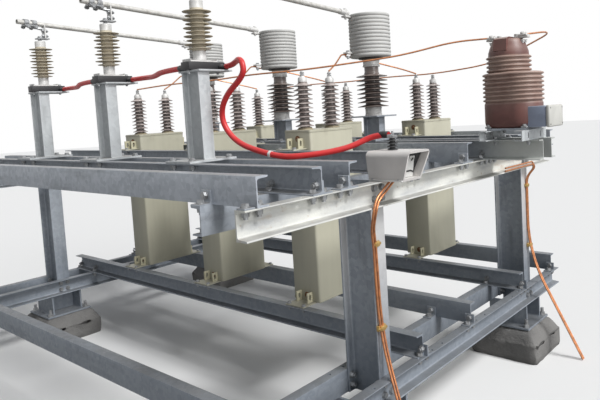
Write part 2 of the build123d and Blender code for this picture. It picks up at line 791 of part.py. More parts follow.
last_x = arrester_xs[2]
lead_on_beam = beam_top + lead_radius + seat_gap
lead_route = [
    (last_x + block_side, lead_out_y, lead_level),
    (last_x + 100, lead_out_y, lead_level),
    (last_x + 170, arrester_axis_y + 62, lead_level + 14),
    (last_x + 226, arrester_axis_y + 28, lead_level + 17),
    (last_x + 271, arrester_axis_y + 8, lead_level + 2),
    (last_x + 279, arrester_axis_y + 7, lead_level - 41),
    (last_x + 238, arrester_axis_y + 10, lead_level - 77),
    (last_x + 154, arrester_axis_y + 14, lead_level - 124),
    (last_x + 97, arrester_axis_y + 20, lead_level - 190),
    (last_x + 98, arrester_axis_y + 28, lead_level - 264),
    (last_x + 166, arrester_axis_y + 40, lead_level - 336),
    (last_x + 279, arrester_axis_y + 55, lead_level - 374),
    (last_x + 400, arrester_axis_y + 70, lead_on_beam),
    (last_x + 480, arrester_axis_y + 95, lead_on_beam),
    (last_x + 566, arrester_axis_y + 165, lead_on_beam + 8),
    (last_x + 640, arrester_axis_y + 240, lead_on_beam + 26),
    (last_x + 705, counter_pin_y, counter_shed_top + counter_clamp_height / 2),
    (counter_pin_x - counter_clamp_side / 2, counter_pin_y, counter_shed_top + counter_clamp_height / 2),
]
write(swept_tube(lead_route, lead_radius), "earth_lead_3")

# Copper conductors: the neutral run along each row of bushings and on to the transformer's terminals
wire_top = bushing_stud_top + wire_radius + seat_gap
neutral_ys = [can_front_ys[0] + can_width / 2 - bushing_pitch / 2, can_front_ys[1] + can_width / 2 + bushing_pitch / 2]
terminal_z = ct_head_top + ct_terminal_thickness + wire_radius + seat_gap
terminal_reach = ct_crest_width / 2 + ct_terminal_length
runs_to_terminals = [
    [(last_x + 414, neutral_ys[0] + 311, wire_top + 46), (ct_x - 288, ct_y - 70, terminal_z)],
    [(last_x + 500, neutral_ys[1] - 60, wire_top + 26), (ct_x + 120, ct_y + 260, terminal_z + 30)],
]
sides = (-1, 1)
neutrals = []
for neutral_y, run, side in zip(neutral_ys, runs_to_terminals, sides):
    neutral_route = [
        (can_xs[0], neutral_y, wire_top),
        (can_xs[0] + phase_pitch / 2, neutral_y, wire_top + 10),
        (can_xs[1], neutral_y, wire_top),
        (can_xs[1] + phase_pitch / 2, neutral_y, wire_top + 10),
        (can_xs[2], neutral_y, wire_top),
        *run,
        (ct_head_x + side * (terminal_reach - ct_terminal_length / 2), ct_y, terminal_z),
    ]
    neutrals.append(swept_tube(neutral_route, wire_radius))
write(Compound(children=neutrals), "neutral_conductors")

# Phase jumpers: from each reactor's low lug to the phase bushing of the can in front and of the can behind
phase_ys = [can_front_ys[0] + can_width / 2 + bushing_pitch / 2, can_front_ys[1] + can_width / 2 - bushing_pitch / 2]
lug_front_y = reactor_y - lug_reach
jumper_z = reactor_base + low_lug_level - wire_radius - seat_gap
jumpers = []
for x in can_xs:
    lug_x = x + tube_side_shift
    front_route = [
        (lug_x - 6, lug_front_y + 14, jumper_z),
        (lug_x - 6, lug_front_y - 30, jumper_z),
        (x - 20, phase_ys[0] + 80, wire_top + 40),
        (x, phase_ys[0], wire_top),
    ]
    rear_route = [
        (lug_x - 20 + wire_radius, lug_front_y + 20, jumper_z),
        (x - 150, reactor_y - 60, jumper_z),
        (x - 150, reactor_y + 120, jumper_z - 10),
        (x - 30, phase_ys[1] - 120, wire_top + 30),
        (x, phase_ys[1], wire_top),
    ]
    jumpers.append(swept_tube(front_route, wire_radius))
    jumpers.append(swept_tube(rear_route, wire_radius))
write(Compound(children=jumpers), "phase_jumpers")

# Earth rods: two from under the counter down the front column, two from the pale channel down the rear column,
# given as (distance from the outer web, station, height over the top channels)
flange_reach = channel_width + earth_radius + seat_gap
face_reach = earth_radius + seat_gap
kerb_reach = (pedestal_length - column_depth) / 2 + 2.6 * earth_radius
ground_level = earth_radius - top_level
under_counter = 0.2 - earth_radius
pedestal_level = pedestal_edge_height + 20 - top_level
front_rods = [
    [(58, 735, under_counter), (60, 640, -60), (60, 618, -110), (20, 650, -190), (face_reach, 676, -260)],
    [(58, 766, under_counter), (60, 653, -71), (60, 635, -110), (20, 665, -184), (face_reach, 692, -257)],
]
front_rod_station = 688.0
rear_rod_station = rear_leg_station + column_width / 2 - 8
splay_level = -640.0
splay_reach = 317.0
rods = []
for rod, upper_part in enumerate(front_rods):
    down_station = front_rod_station + rod * earth_spacing
    lower_part = [
        (face_reach, down_station, -628),
        (kerb_reach, down_station, pedestal_level),
        (kerb_reach, down_station, ground_level),
    ]
    rods.append(upper_part + lower_part)
for rod in range(2):
    down_station = rear_rod_station - rod * earth_spacing
    strip_level = 12 - channel_depth + rod * earth_spacing
    rods.append([
        (flange_reach, rear_leg_station - 370, strip_level),
        (flange_reach, down_station - 12, strip_level),
        (flange_reach, down_station, strip_level - 24 - rod * earth_spacing),
        (face_reach, down_station, -channel_depth - 72),
        (face_reach, down_station, splay_level),
        (splay_reach, down_station, ground_level),
    ])
rod_parts = []
for rod_route in rods:
    placed = [(right_web_x + reach, front_y + station, top_level + level) for reach, station, level in rod_route]
    rod_parts.append(swept_tube(placed, earth_radius))
write(Compound(children=rod_parts), "earth_rods")
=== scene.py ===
import bpy
import bmesh
import json
from math import cos, pi, radians, sin
from mathutils import Matrix, Vector, noise


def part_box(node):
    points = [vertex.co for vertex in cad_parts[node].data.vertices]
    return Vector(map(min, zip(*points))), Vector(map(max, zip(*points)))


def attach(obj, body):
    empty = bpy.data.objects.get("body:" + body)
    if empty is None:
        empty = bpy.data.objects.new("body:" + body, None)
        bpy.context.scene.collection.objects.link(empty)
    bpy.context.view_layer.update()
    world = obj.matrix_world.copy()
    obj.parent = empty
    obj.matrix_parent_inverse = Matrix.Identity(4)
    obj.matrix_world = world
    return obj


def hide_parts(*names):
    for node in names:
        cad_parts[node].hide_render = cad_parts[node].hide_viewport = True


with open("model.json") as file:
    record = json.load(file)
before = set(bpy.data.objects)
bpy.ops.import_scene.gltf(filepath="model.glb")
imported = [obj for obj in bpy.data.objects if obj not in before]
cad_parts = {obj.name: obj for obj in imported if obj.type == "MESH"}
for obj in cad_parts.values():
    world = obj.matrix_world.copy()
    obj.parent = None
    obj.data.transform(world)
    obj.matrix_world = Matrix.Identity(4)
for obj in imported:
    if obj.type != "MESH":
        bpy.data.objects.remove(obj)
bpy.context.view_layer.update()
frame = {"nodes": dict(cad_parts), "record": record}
nodes = frame["nodes"]
print("frame loaded with", len(nodes), "nodes")


def placed(name, data):
    made = bpy.data.objects.new(name, data)
    bpy.context.scene.collection.objects.link(made)
    return made


# Camera
camera = {
    "place": (2.8164, -2.4187, 1.5261),
    "yaw": 38.511,
    "pitch": -4.090,
    "roll": -3.058,
    "sensor": 36,
    "focal": 34.873,
    "shift": (-0.1080, -0.0806),
    "clip": (0.05, 80),
}


def lookDirections(yaw, pitch, roll):
    forward = Vector((-sin(yaw) * cos(pitch), cos(yaw) * cos(pitch), sin(pitch)))
    level = Vector((cos(yaw), sin(yaw), 0))
    upright = level.cross(forward)
    right = level * cos(roll) + upright * sin(roll)
    up = upright * cos(roll) - level * sin(roll)
    return right, up, forward


cameraData = bpy.data.cameras.new("photoCamera")
cameraData.sensor_width = camera["sensor"]
cameraData.lens = camera["focal"]
cameraData.shift_x, cameraData.shift_y = camera["shift"]
cameraData.clip_start, cameraData.clip_end = camera["clip"]
right, up, forward = lookDirections(*(radians(camera[key]) for key in ("yaw", "pitch", "roll")))
cameraObject = placed("photoCamera", cameraData)
turn = Matrix((right, up, -forward)).transposed().to_4x4()
cameraObject.matrix_world = Matrix.Translation(camera["place"]) @ turn
bpy.context.scene.camera = cameraObject
print("camera set")


# Node helpers: an input is either a value or the output it is linked to
def connect(tree, value, socket):
    if isinstance(value, bpy.types.NodeSocket):
        tree.links.new(value, socket)
    elif isinstance(value, tuple) and len(socket.default_value) == 4:
        socket.default_value = (*value, 1)
    else:
        socket.default_value = value


def addNode(tree, kind, inputs, output=0, **settings):
    node = tree.nodes.new("ShaderNode" + kind)
    for name, value in settings.items():
        setattr(node, name, value)
    for key, value in inputs.items():
        connect(tree, value, node.inputs[key])
    return node.outputs[output]


def blended(tree, mask, first, second):
    return addNode(tree, "Mix", {"Factor": mask, "A": first, "B": second}, "Result", data_type="RGBA")


# Light and floor
studio = {
    "sky": (0.92, 0.95, 1.0),
    "skyStrength": 0.22,
    "keyFrom": (0.66, 0.04, 0.75),
    "keyPower": 3.1,
    "keyAngle": 16,
    "fillFrom": (0.95, -0.13, 0.22),
    "fillPower": 1.25,
    "fillAngle": 40,
    "floor": (0.82, 0.82, 0.815),
    "floorBounce": (0.42, 0.42, 0.415),
    "floorRadius": 40.0,
    "floorRoughness": 0.9,
}

world = bpy.data.worlds.new("studioWorld")
bpy.context.scene.world = world
world.use_nodes = True
worldTree = world.node_tree
softSky = worldTree.nodes["Background"]
connect(worldTree, studio["sky"], softSky.inputs["Color"])
connect(worldTree, studio["skyStrength"], softSky.inputs["Strength"])
whiteSky = addNode(worldTree, "Background", {"Color": (1, 1, 1), "Strength": 1.0})
seenShare = addNode(worldTree, "LightPath", {}, "Is Camera Ray")
for ray in ("Is Glossy Ray", "Is Transmission Ray"):
    otherShare = addNode(worldTree, "LightPath", {}, ray)
    seenShare = addNode(worldTree, "Math", {0: seenShare, 1: otherShare}, operation="MAXIMUM")
skyMix = addNode(worldTree, "MixShader", {0: seenShare, 1: softSky.outputs[0], 2: whiteSky})
connect(worldTree, skyMix, worldTree.nodes["World Output"].inputs[0])

for lampName in ("key", "fill"):
    lamp = bpy.data.lights.new(lampName + "Light", "SUN")
    lamp.energy = studio[lampName + "Power"]
    lamp.angle = radians(studio[lampName + "Angle"])
    lightFrom = Vector(studio[lampName + "From"])
    placed(lampName + "Light", lamp).rotation_euler = (-lightFrom).to_track_quat("-Z", "Y").to_euler()


# Painted materials on Object coordinates: a colour and layers over it, each with a share and its masks
def limited(tree, value, low, high, lowest=0.0, highest=1.0):
    span = {"Value": value, "From Min": low, "From Max": high, "To Min": lowest, "To Max": highest}
    return addNode(tree, "MapRange", span, "Result")


def axisMask(tree, vector, axis, *span):
    return limited(tree, addNode(tree, "SeparateXYZ", {0: vector}, axis), *span)


def noiseMask(tree, place, scale, low, high, detail=4.0, rough=0.55, stretch=None):
    if stretch:
        place = addNode(tree, "Mapping", {"Vector": place, "Scale": stretch})
    speckle = {"Vector": place, "Scale": scale, "Detail": detail, "Roughness": rough}
    return limited(tree, addNode(tree, "TexNoise", speckle, "Fac"), low, high)


maskAxes = {"up": ("normal", "Z"), "sunward": ("normal", "X"), "height": ("place", "Z"), "across": ("place", "X")}


def paintedMaterial(name, colour, layers, bump, roughness, metallic=0.0, coat=0.0, spangle=None):
    material = bpy.data.materials.new(name)
    material.use_nodes = True
    tree = material.node_tree
    place = addNode(tree, "TexCoord", {}, "Object")
    vectors = {"place": place, "normal": addNode(tree, "NewGeometry", {}, "Normal")}
    if spangle:
        cells = addNode(tree, "TexVoronoi", {"Vector": place, "Scale": spangle["scale"]}, "Color")
        colour = blended(tree, axisMask(tree, cells, "X", 0.0, 1.0, *spangle["shares"]), colour, spangle["colour"])
        roughness = axisMask(tree, cells, "Y", 0.0, 1.0, *spangle["roughness"])
    for tint, share, *masks in layers:
        for kind, *spread in masks:
            if kind == "noise":
                mask = noiseMask(tree, place, *spread)
            else:
                source, axis = maskAxes[kind]
                mask = axisMask(tree, vectors[source], axis, *spread)
            share = addNode(tree, "Math", {0: mask, 1: share}, operation="MULTIPLY")
        colour = blended(tree, share, colour, tint)
    grain, strength, distance = bump
    relief = {"Height": noiseMask(tree, place, *grain), "Strength": strength, "Distance": distance}
    coats = {"Base Color": colour, "Roughness": roughness, "Metallic": metallic, "Coat Weight": coat}
    coats["Normal"] = addNode(tree, "Bump", relief, "Normal")
    for key, value in coats.items():
        connect(tree, value, tree.nodes["Principled BSDF"].inputs[key])
    return material


# Zinc: spangle, pale clouds, dark runs along the grain, dust on what faces up, and painted shade that makes it darker
# and bluer towards the bottom
zinc = {
    "dark": (0.215, 0.240, 0.275),
    "light": (0.400, 0.430, 0.470),
    "stain": (0.120, 0.125, 0.130),
    "dust": (0.235, 0.225, 0.210),
    # low: a bluish dark colour laid in below 0.8 m, painted shade on all zinc near the ground
    "low": (0.115, 0.140, 0.175),
    "grain": (9.0, 9.0, 1.3),
    "spangleScale": 55.0,
    "metallic": 0.35,
}


def zincMaterial(name, extra=(), **changes):
    values = {**zinc, **changes}
    layers = [
        (values["light"], 0.55, ("noise", 3.2, 0.32, 0.70, 6.0)),
        (values["stain"], 0.42, ("noise", 2.2, 0.56, 0.74, 5.0, 0.55, values["grain"])),
        (values["dust"], 0.75, ("up", 0.55, 0.95), ("noise", 7.0, 0.10, 0.60)),
        # painted shade: darker and bluer towards the bottom
        (values["low"], 0.42, ("height", 0.80, 0.50)),
        *extra,
    ]
    spangle = {"scale": values["spangleScale"], "colour": values["light"], "shares": (0.25, 0.75)}
    spangle["roughness"] = (0.42, 0.62)
    bump = ((120.0, 0.3, 0.7, 2.0), 0.12, 0.002)
    return paintedMaterial(name, values["dark"], layers, bump, 0.5, values["metallic"], 0.0, spangle)


# Glazed and moulded bodies: a clean colour with dust on what faces up
finePores = ((150.0, 0.3, 0.7, 2.0), 0.06, 0.001)


def dustyMaterial(name, colour, dust, amount, roughness, mottle=0.12, coat=0.0, facing=(0.15, 0.80)):
    deep = tuple(value * (1.0 - 2.2 * mottle) for value in colour)
    layers = [
        (deep, 1.0, ("noise", 14.0, 0.35, 0.70, 5.0)),
        (dust, amount, ("up", *facing), ("noise", 22.0, 0.25, 0.62)),
    ]
    return paintedMaterial(name, colour, layers, finePores, roughness, 0.0, coat)


def plainMetal(name, colour, dark, roughness, metallic):
    layers = [(dark, 1.0, ("noise", 40.0, 0.40, 0.72))]
    return paintedMaterial(name, colour, layers, ((160.0, 0.3, 0.7, 2.0), 0.10, 0.001), roughness, metallic)


# Pale oxidised zinc of the outer channel: chalk, brown smears, settled dirt and rust spots
chalkRust = (0.34, 0.215, 0.115)
chalk = {
    "colour": (0.68, 0.68, 0.635),
    "layers": [
        ((0.43, 0.44, 0.44), 1.0, ("noise", 5.0, 0.42, 0.68, 6.0, 0.55, (3.0, 0.8, 3.0))),
        (chalkRust, 0.55, ("noise", 3.5, 0.60, 0.76, 6.0, 0.55, (6.0, 1.6, 6.0))),
        ((0.270, 0.262, 0.245), 0.8, ("up", 0.6, 0.95), ("noise", 8.0, 0.10, 0.60)),
        (chalkRust, 0.6, ("noise", 60.0, 0.66, 0.74, 3.0)),
    ],
    "bump": ((90.0, 0.3, 0.7), 0.2, 0.002),
    "roughness": 0.78,
}

# Can paint: warm grey, faint runs, dirt near the foot and under the lid, dust on top
canDirt, dirtPatches = (0.185, 0.160, 0.110), ("noise", 9.0, 0.56, 0.80, 6.0)
canPaint = {
    "colour": (0.455, 0.440, 0.345),
    "layers": [
        ((0.375, 0.360, 0.285), 0.35, ("noise", 2.6, 0.40, 0.72, 5.0, 0.55, (10.0, 10.0, 0.9))),
        (canDirt, 0.8, dirtPatches, ("height", 0.62, 0.52)),
        (canDirt, 0.8, dirtPatches, ("height", 1.36, 1.44)),
        ((0.340, 0.325, 0.270), 0.75, ("up", 0.5, 0.9), ("noise", 11.0, 0.05, 0.65)),
    ],
    "bump": ((6.0, 0.2, 0.8, 2.0), 0.08, 0.02),
    "roughness": 0.46,
}

# Concrete: pale and damp patches, sand grain
concretePale = (0.215, 0.210, 0.202)
concrete = {
    "colour": (0.130, 0.128, 0.125),
    "layers": [
        (concretePale, 1.0, ("noise", 4.0, 0.35, 0.68, 8.0)),
        ((0.060, 0.060, 0.060), 0.7, ("noise", 2.4, 0.50, 0.72, 7.0)),
        (concretePale, 0.25, ("noise", 260.0, 0.35, 0.65, 3.0)),
    ],
    "bump": ((26.0, 0.25, 0.75, 10.0, 0.7), 0.75, 0.010),
    "roughness": 0.92,
}

# Brown resin, dustier between the two levels of the ribs
resinDust = (0.420, 0.310, 0.260)
resin = {
    "colour": (0.160, 0.064, 0.054),
    "layers": [
        ((0.105, 0.044, 0.038), 1.0, ("noise", 12.0, 0.35, 0.70, 5.0)),
        (resinDust, 0.75, ("noise", 9.0, 0.10, 0.55), ("height", 1.515, 1.535), ("height", 1.765, 1.745)),
        (resinDust, 0.55, ("up", 0.0, 0.7), ("noise", 22.0, 0.20, 0.62)),
    ],
    "bump": finePores,
    "roughness": 0.45,
}

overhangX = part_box("ct_body")[0].x
alongX, alongY = (1.1, 9.0, 9.0), (9.0, 1.1, 9.0)
fading = [((0.520, 0.535, 0.505), 0.85, ("across", overhangX - 0.12, overhangX + 0.12))]
# Painted light: a pale colour on faces that point to +X, toward the lamps, between 0.55 and 0.95 m
sunwardPaintedLight = [((0.640, 0.630, 0.620), 0.75, ("sunward", 0.6, 0.9), ("height", 0.55, 0.95))]
paleZinc = {"dark": (0.370, 0.390, 0.405), "light": (0.565, 0.590, 0.600), "stain": (0.220, 0.228, 0.230)}
finishes = {
    "galvanised": zincMaterial("galvanisedSteel"),
    "posts": zincMaterial("paleGalvanised", **paleZinc, metallic=0.2),
    "beams": zincMaterial("galvanisedBeams", grain=alongX),
    "channels": zincMaterial("galvanisedChannels", grain=alongY),
    "fadedBeam": zincMaterial("fadedGalvanised", fading, grain=alongX, metallic=0.2),
    "frontBeam": zincMaterial(
        "brightGalvanised", grain=alongX, dark=(0.245, 0.272, 0.310), light=(0.500, 0.532, 0.580)
    ),
    "paintedLightLeg": zincMaterial("sunlitPaintedGalvanised", sunwardPaintedLight),
    "cream_steel": paintedMaterial("chalkySteel", **chalk),
    "can_paint": paintedMaterial("canPaint", **canPaint),
    "concrete": paintedMaterial("pedestalConcrete", **concrete),
    "ct_resin": paintedMaterial("transformerResin", **resin),
    "porcelain": dustyMaterial(
        "bushingGlaze", (0.095, 0.064, 0.058), (0.540, 0.480, 0.450), 0.9, 0.34, 0.10, 0.2, (-0.55, 0.55)
    ),
    "brown_glaze": dustyMaterial(
        "insulatorGlaze", (0.062, 0.038, 0.032), (0.360, 0.310, 0.280), 0.7, 0.32, 0.10, 0.2, (-0.25, 0.7)
    ),
    "rust": dustyMaterial("rustyIron", (0.230, 0.110, 0.055), (0.300, 0.180, 0.100), 0.5, 0.85, 0.2),
}
for coat, name, colour, dust, amount, roughness, mottle in (
    ("arrester_polymer", "arresterHousing", (0.560, 0.505, 0.395), (0.620, 0.565, 0.460), 0.6, 0.62, 0.08),
    ("black_polymer", "blackPolymer", (0.022, 0.022, 0.024), (0.150, 0.150, 0.150), 0.3, 0.50, 0.12),
    ("reactor_resin", "reactorResin", (0.520, 0.520, 0.505), (0.600, 0.590, 0.560), 0.5, 0.60, 0.05),
    ("box_grey", "boxPaint", (0.560, 0.555, 0.520), (0.480, 0.450, 0.380), 0.4, 0.50, 0.06),
    ("counter_shell", "counterShell", (0.690, 0.665, 0.645), (0.640, 0.620, 0.590), 0.5, 0.50, 0.05),
    ("lead_red", "redSheath", (0.640, 0.028, 0.030), (0.680, 0.150, 0.140), 0.3, 0.42, 0.06),
    ("earPaint", "earPaint", (0.560, 0.530, 0.380), (0.460, 0.420, 0.300), 0.4, 0.50, 0.06),
    ("collarPaint", "collarPaint", (0.420, 0.350, 0.230), (0.400, 0.370, 0.300), 0.5, 0.60, 0.12),
    # a darker blue copy of the box paint, painted shade for the terminal box body
    ("boxPaintedShade", "boxPaintedShade", (0.290, 0.330, 0.430), (0.420, 0.410, 0.380), 0.4, 0.50, 0.06),
    ("rustyBeige", "rustyBeige", (0.380, 0.300, 0.210), (0.300, 0.190, 0.110), 0.6, 0.70, 0.20),
    ("dialWhite", "dialWhite", (0.720, 0.720, 0.700), (0.600, 0.580, 0.520), 0.3, 0.45, 0.04),
):
    finishes[coat] = dustyMaterial(name, colour, dust, amount, roughness, mottle)
for coat, name, colour, dark, roughness, metallic in (
    ("tube_aluminium", "tubeAluminium", (0.62, 0.61, 0.58), (0.42, 0.41, 0.38), 0.48, 0.35),
    ("castAluminium", "castAluminium", (0.66, 0.655, 0.64), (0.50, 0.495, 0.48), 0.50, 0.20),
    ("copper", "bareCopper", (0.640, 0.270, 0.120), (0.360, 0.160, 0.085), 0.36, 0.75),
    ("brass", "clampBrass", (0.62, 0.42, 0.15), (0.40, 0.24, 0.09), 0.36, 0.75),
    ("boltZinc", "boltZinc", (0.36, 0.37, 0.38), (0.19, 0.19, 0.19), 0.42, 0.65),
):
    finishes[coat] = plainMetal(name, colour, dark, roughness, metallic)

# The slot of each finish that isn't named after its slot
zincCoats = ("posts", "beams", "channels", "fadedBeam", "frontBeam", "paintedLightLeg", "boltZinc")
coatSlots = dict.fromkeys(zincCoats, "galvanised")
coatSlots |= dict.fromkeys(("rust", "earPaint", "collarPaint"), "can_paint")
coatSlots |= {"boxPaintedShade": "box_grey", "dialWhite": "box_grey", "rustyBeige": "reactor_resin"}
coatSlots |= {"castAluminium": "tube_aluminium", "brass": "copper"}
print("finishes ready:", len(finishes))

for part in frame["record"]["subparts"]:
    materials = nodes[part["node"]].data.materials
    materials.clear()
    materials.append(finishes["posts" if part["node"] == "ct_rails" else part["material_slot"]])


# Mesh helpers
def meshFrom(bm, name):
    mesh = bpy.data.meshes.new(name)
    bm.to_mesh(mesh)
    bm.free()
    return mesh


def finishPiece(bm, name, coat, replaced=(), sharp=34):
    bmesh.ops.remove_doubles(bm, verts=bm.verts, dist=1e-6)
    for face in bm.faces:
        face.smooth = True
    for edge in bm.edges:
        if len(edge.link_faces) == 2 and edge.calc_face_angle(0.0) > radians(sharp):
            edge.smooth = False
    mesh = meshFrom(bm, name)
    mesh.materials.append(finishes[coat])
    piece = placed(name, mesh)
    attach(piece, "root")
    if replaced:
        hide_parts(*replaced)
    return piece


def bevelEdges(bm, edges, offset, segments=1, clamp=False):
    bmesh.ops.bevel(
        bm, geom=list(edges), offset=offset, segments=segments, profile=0.5, affect="EDGES", material=-1,
        clamp_overlap=clamp,
    )


def newVerts(geometry):
    return [item for item in geometry if isinstance(item, bmesh.types.BMVert)]


def edgesOf(verts):
    return list({edge for vert in verts for edge in vert.link_edges})


def aimed(spot, axis):
    return Matrix.Translation(spot) @ Vector(axis).to_track_quat("Z", "X").to_matrix().to_4x4()


def addCone(bm, middle, axis, length, radius, endRadius, segments):
    bmesh.ops.create_cone(
        bm, cap_ends=True, segments=segments, radius1=radius, radius2=endRadius, depth=length,
        matrix=aimed(middle, axis),
    )


def addRod(bm, start, end, radius, segments=20, endRadius=None):
    axis = Vector(end) - Vector(start)
    endRadius = radius if endRadius is None else endRadius
    addCone(bm, Vector(start) + axis / 2, axis, axis.length, radius, endRadius, segments)


def addHex(bm, base, axis, across, height, chamfer=0.9):
    radius = across / 2 / cos(pi / 6)
    addCone(bm, Vector(base) + Vector(axis) * height / 2, axis, height, radius, radius * chamfer, 6)


def addBlock(bm, low, high, bevel=0.0, segments=1):
    low, high = Vector(low), Vector(high)
    place = Matrix.Translation((low + high) / 2) @ Matrix.Diagonal((*(high - low), 1))
    verts = bmesh.ops.create_cube(bm, size=1.0, matrix=place)["verts"]
    if bevel:
        bevelEdges(bm, edgesOf(verts), bevel, segments)


def addPlate(bm, x, y, halfX, halfY, low, high, bevel=0.0, segments=1):
    addBlock(bm, (x - halfX, y - halfY, low), (x + halfX, y + halfY, high), bevel, segments)


def addSection(bm, outline, rounds, direction):
    corners = [bm.verts.new(point) for point in outline]
    made = bmesh.ops.extrude_face_region(bm, geom=[bm.faces.new(corners)], use_keep_orig=True)
    bmesh.ops.translate(bm, verts=newVerts(made["geom"]), vec=direction)
    along = Vector(direction).normalized()
    for radius in sorted(set(rounds) - {0}, reverse=True):
        edges = []
        for corner, wanted in zip(corners, rounds):
            if wanted == radius and corner.is_valid:
                for edge in corner.link_edges:
                    run = (edge.other_vert(corner).co - corner.co).normalized()
                    if abs(run.dot(along)) > 0.999:
                        edges.append(edge)
        bevelEdges(bm, edges, radius, 3, True)


def turnedPiece(outline, centres, name, coat, replaced=(), segments=32, sharp=34):
    bm = bmesh.new()
    verts = [bm.verts.new((radius, 0, height)) for radius, height in outline]
    edges = [bm.edges.new(pair) for pair in zip(verts, verts[1:])]
    bmesh.ops.spin(
        bm, geom=verts + edges, cent=(0, 0, 0), axis=(0, 0, 1), angle=2 * pi, steps=segments, use_merge=True
    )
    bmesh.ops.remove_doubles(bm, verts=bm.verts, dist=1e-5)
    bmesh.ops.recalc_face_normals(bm, faces=bm.faces)
    first = list(bm.verts) + list(bm.edges) + list(bm.faces)
    for centre in centres[1:]:
        copied = newVerts(bmesh.ops.duplicate(bm, geom=first)["geom"])
        bmesh.ops.translate(bm, verts=copied, vec=Vector(centre) - Vector(centres[0]))
    bmesh.ops.translate(bm, verts=bm.verts, vec=centres[0])
    return finishPiece(bm, name, coat, replaced, sharp)


def addTube(bm, start, end, outer, inner, segments=24):
    axis = Vector(end) - Vector(start)
    rings = []
    for distance in (0, axis.length):
        for radius in (outer, inner):
            place = aimed(start, axis) @ Matrix.Translation((0, 0, distance))
            rings.append(edgesOf(bmesh.ops.create_circle(bm, segments=segments, radius=radius, matrix=place)["verts"]))
    for first, second in ((0, 1), (2, 3), (0, 2), (1, 3)):
        bmesh.ops.bridge_loops(bm, edges=rings[first] + rings[second])


# One bolt: head and washer at the seat, then washer, nut and thread end behind the grip
boltSizes = {
    16: {"across": 0.024, "head": 0.010, "washer": 0.015, "washerThick": 0.003, "nut": 0.013, "thread": 0.008},
    12: {"across": 0.019, "head": 0.0075, "washer": 0.012, "washerThick": 0.0025, "nut": 0.010, "thread": 0.006},
}
upward = (0, 0, 1)


def addBolt(bm, seat, axis, grip, size=16):
    values = boltSizes[size]
    seat, axis = Vector(seat), Vector(axis)
    for face, outward, depth in ((seat, axis, values["head"]), (seat - axis * grip, -axis, values["nut"])):
        raised = face + outward * values["washerThick"]
        addRod(bm, face, raised, values["washer"], 12)
        addHex(bm, raised, outward, values["across"], depth)
    threadStart = raised + outward * depth
    addRod(bm, threadStart, threadStart + outward * values["thread"], size / 2000, 8)


# Rolled channel, outline in millimetres: tapered flanges, big root radii and rounded toes
channelSection = {
    "outline": [(0, 0), (50, 0), (50, 6.2), (5, 8.8), (5, 91.2), (50, 93.8), (50, 100), (0, 100)],
    "rounds": [0.0008, 0.0008, 0.004, 0.008, 0.008, 0.004, 0.0008, 0.0008],
    "flange": 0.050,
    "steel": 0.0075,
    "boltLine": 0.027,
    "boltFace": 0.0078,
}
cleatValues = {"length": 0.050, "leg": 0.050, "thick": 0.006, "boltReach": 0.028, "boltLevel": 0.031}
holeValues = {"radius": 0.007, "reach": 0.012, "station": 0.030, "apart": 0.045, "base": 0.43, "top": 0.62}
channelSteel = channelSection["steel"]
flangeWidth = channelSection["flange"]
quarters = [(-1, -1), (-1, 1), (1, -1), (1, 1)]


def addChannel(bm, runsAlong, web, side, low, start, end):
    points = []
    for across, height in channelSection["outline"]:
        flat = web + side * across / 1000
        level = low + height / 1000
        points.append((start, flat, level) if runsAlong == "x" else (flat, start, level))
    run = (end - start, 0, 0) if runsAlong == "x" else (0, end - start, 0)
    addSection(bm, points, channelSection["rounds"], run)


def addCleat(bm, web, side, flat, level):
    length, leg, thick = (cleatValues[key] for key in ("length", "leg", "thick"))
    points = [(0, 0), (-leg, 0), (-leg, thick), (-thick, thick), (-thick, leg), (0, leg)]
    outline = [(flat - length / 2, web + side * across, level + height) for across, height in points]
    addSection(bm, outline, [0, 0, 0.003, 0.006, 0.003, 0], (length, 0, 0))


def cutHoles(piece, spots):
    bm = bmesh.new()
    reach = Vector((0, 0, holeValues["reach"]))
    for spot in spots:
        addRod(bm, Vector(spot) - reach, Vector(spot) + reach, holeValues["radius"], 14)
    cutter = placed("holeCutter", meshFrom(bm, "holeCutter"))
    holes = piece.modifiers.new("holes", "BOOLEAN")
    holes.operation = "DIFFERENCE"
    holes.object = cutter
    shape = bpy.data.meshes.new_from_object(piece.evaluated_get(bpy.context.evaluated_depsgraph_get()))
    piece.modifiers.clear()
    piece.data = shape
    bpy.data.objects.remove(cutter)


leftLow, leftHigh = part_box("top_channels_left")
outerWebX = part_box("top_channel_right_outer")[0].x
channelPairs = {
    "right": ((outerWebX, 1), (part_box("top_channel_right_inner")[1].x, -1)),
    "left": ((leftLow.x + flangeWidth, -1), (leftHigh.x - flangeWidth, 1)),
}
crossXs = [web + side * flangeWidth / 2 for pair in channelPairs.values() for web, side in pair]

for node, bars in {
    "top_channel_right_outer": channelPairs["right"][:1],
    "top_channel_right_inner": channelPairs["right"][1:],
    "top_channels_left": channelPairs["left"],
    "base_channels_right": channelPairs["right"],
    "base_channels_left": channelPairs["left"],
}.items():
    low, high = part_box(node)
    bm = bmesh.new()
    for web, side in bars:
        addChannel(bm, "y", web, side, low.z, low.y, high.y)
    coat = "cream_steel" if node == "top_channel_right_outer" else "channels"
    channel = finishPiece(bm, node + "Rolled", coat, [node])
    gap = holeValues["base" if node.startswith("base") else "top"]
    cutHoles(channel, [
        (web + side * holeValues["station"], low.y + gap * (count + 0.5) + shift, high.z)
        for web, side in bars
        for count in range(int((high.y - low.y) / gap))
        for shift in (-holeValues["apart"], holeValues["apart"])
    ])

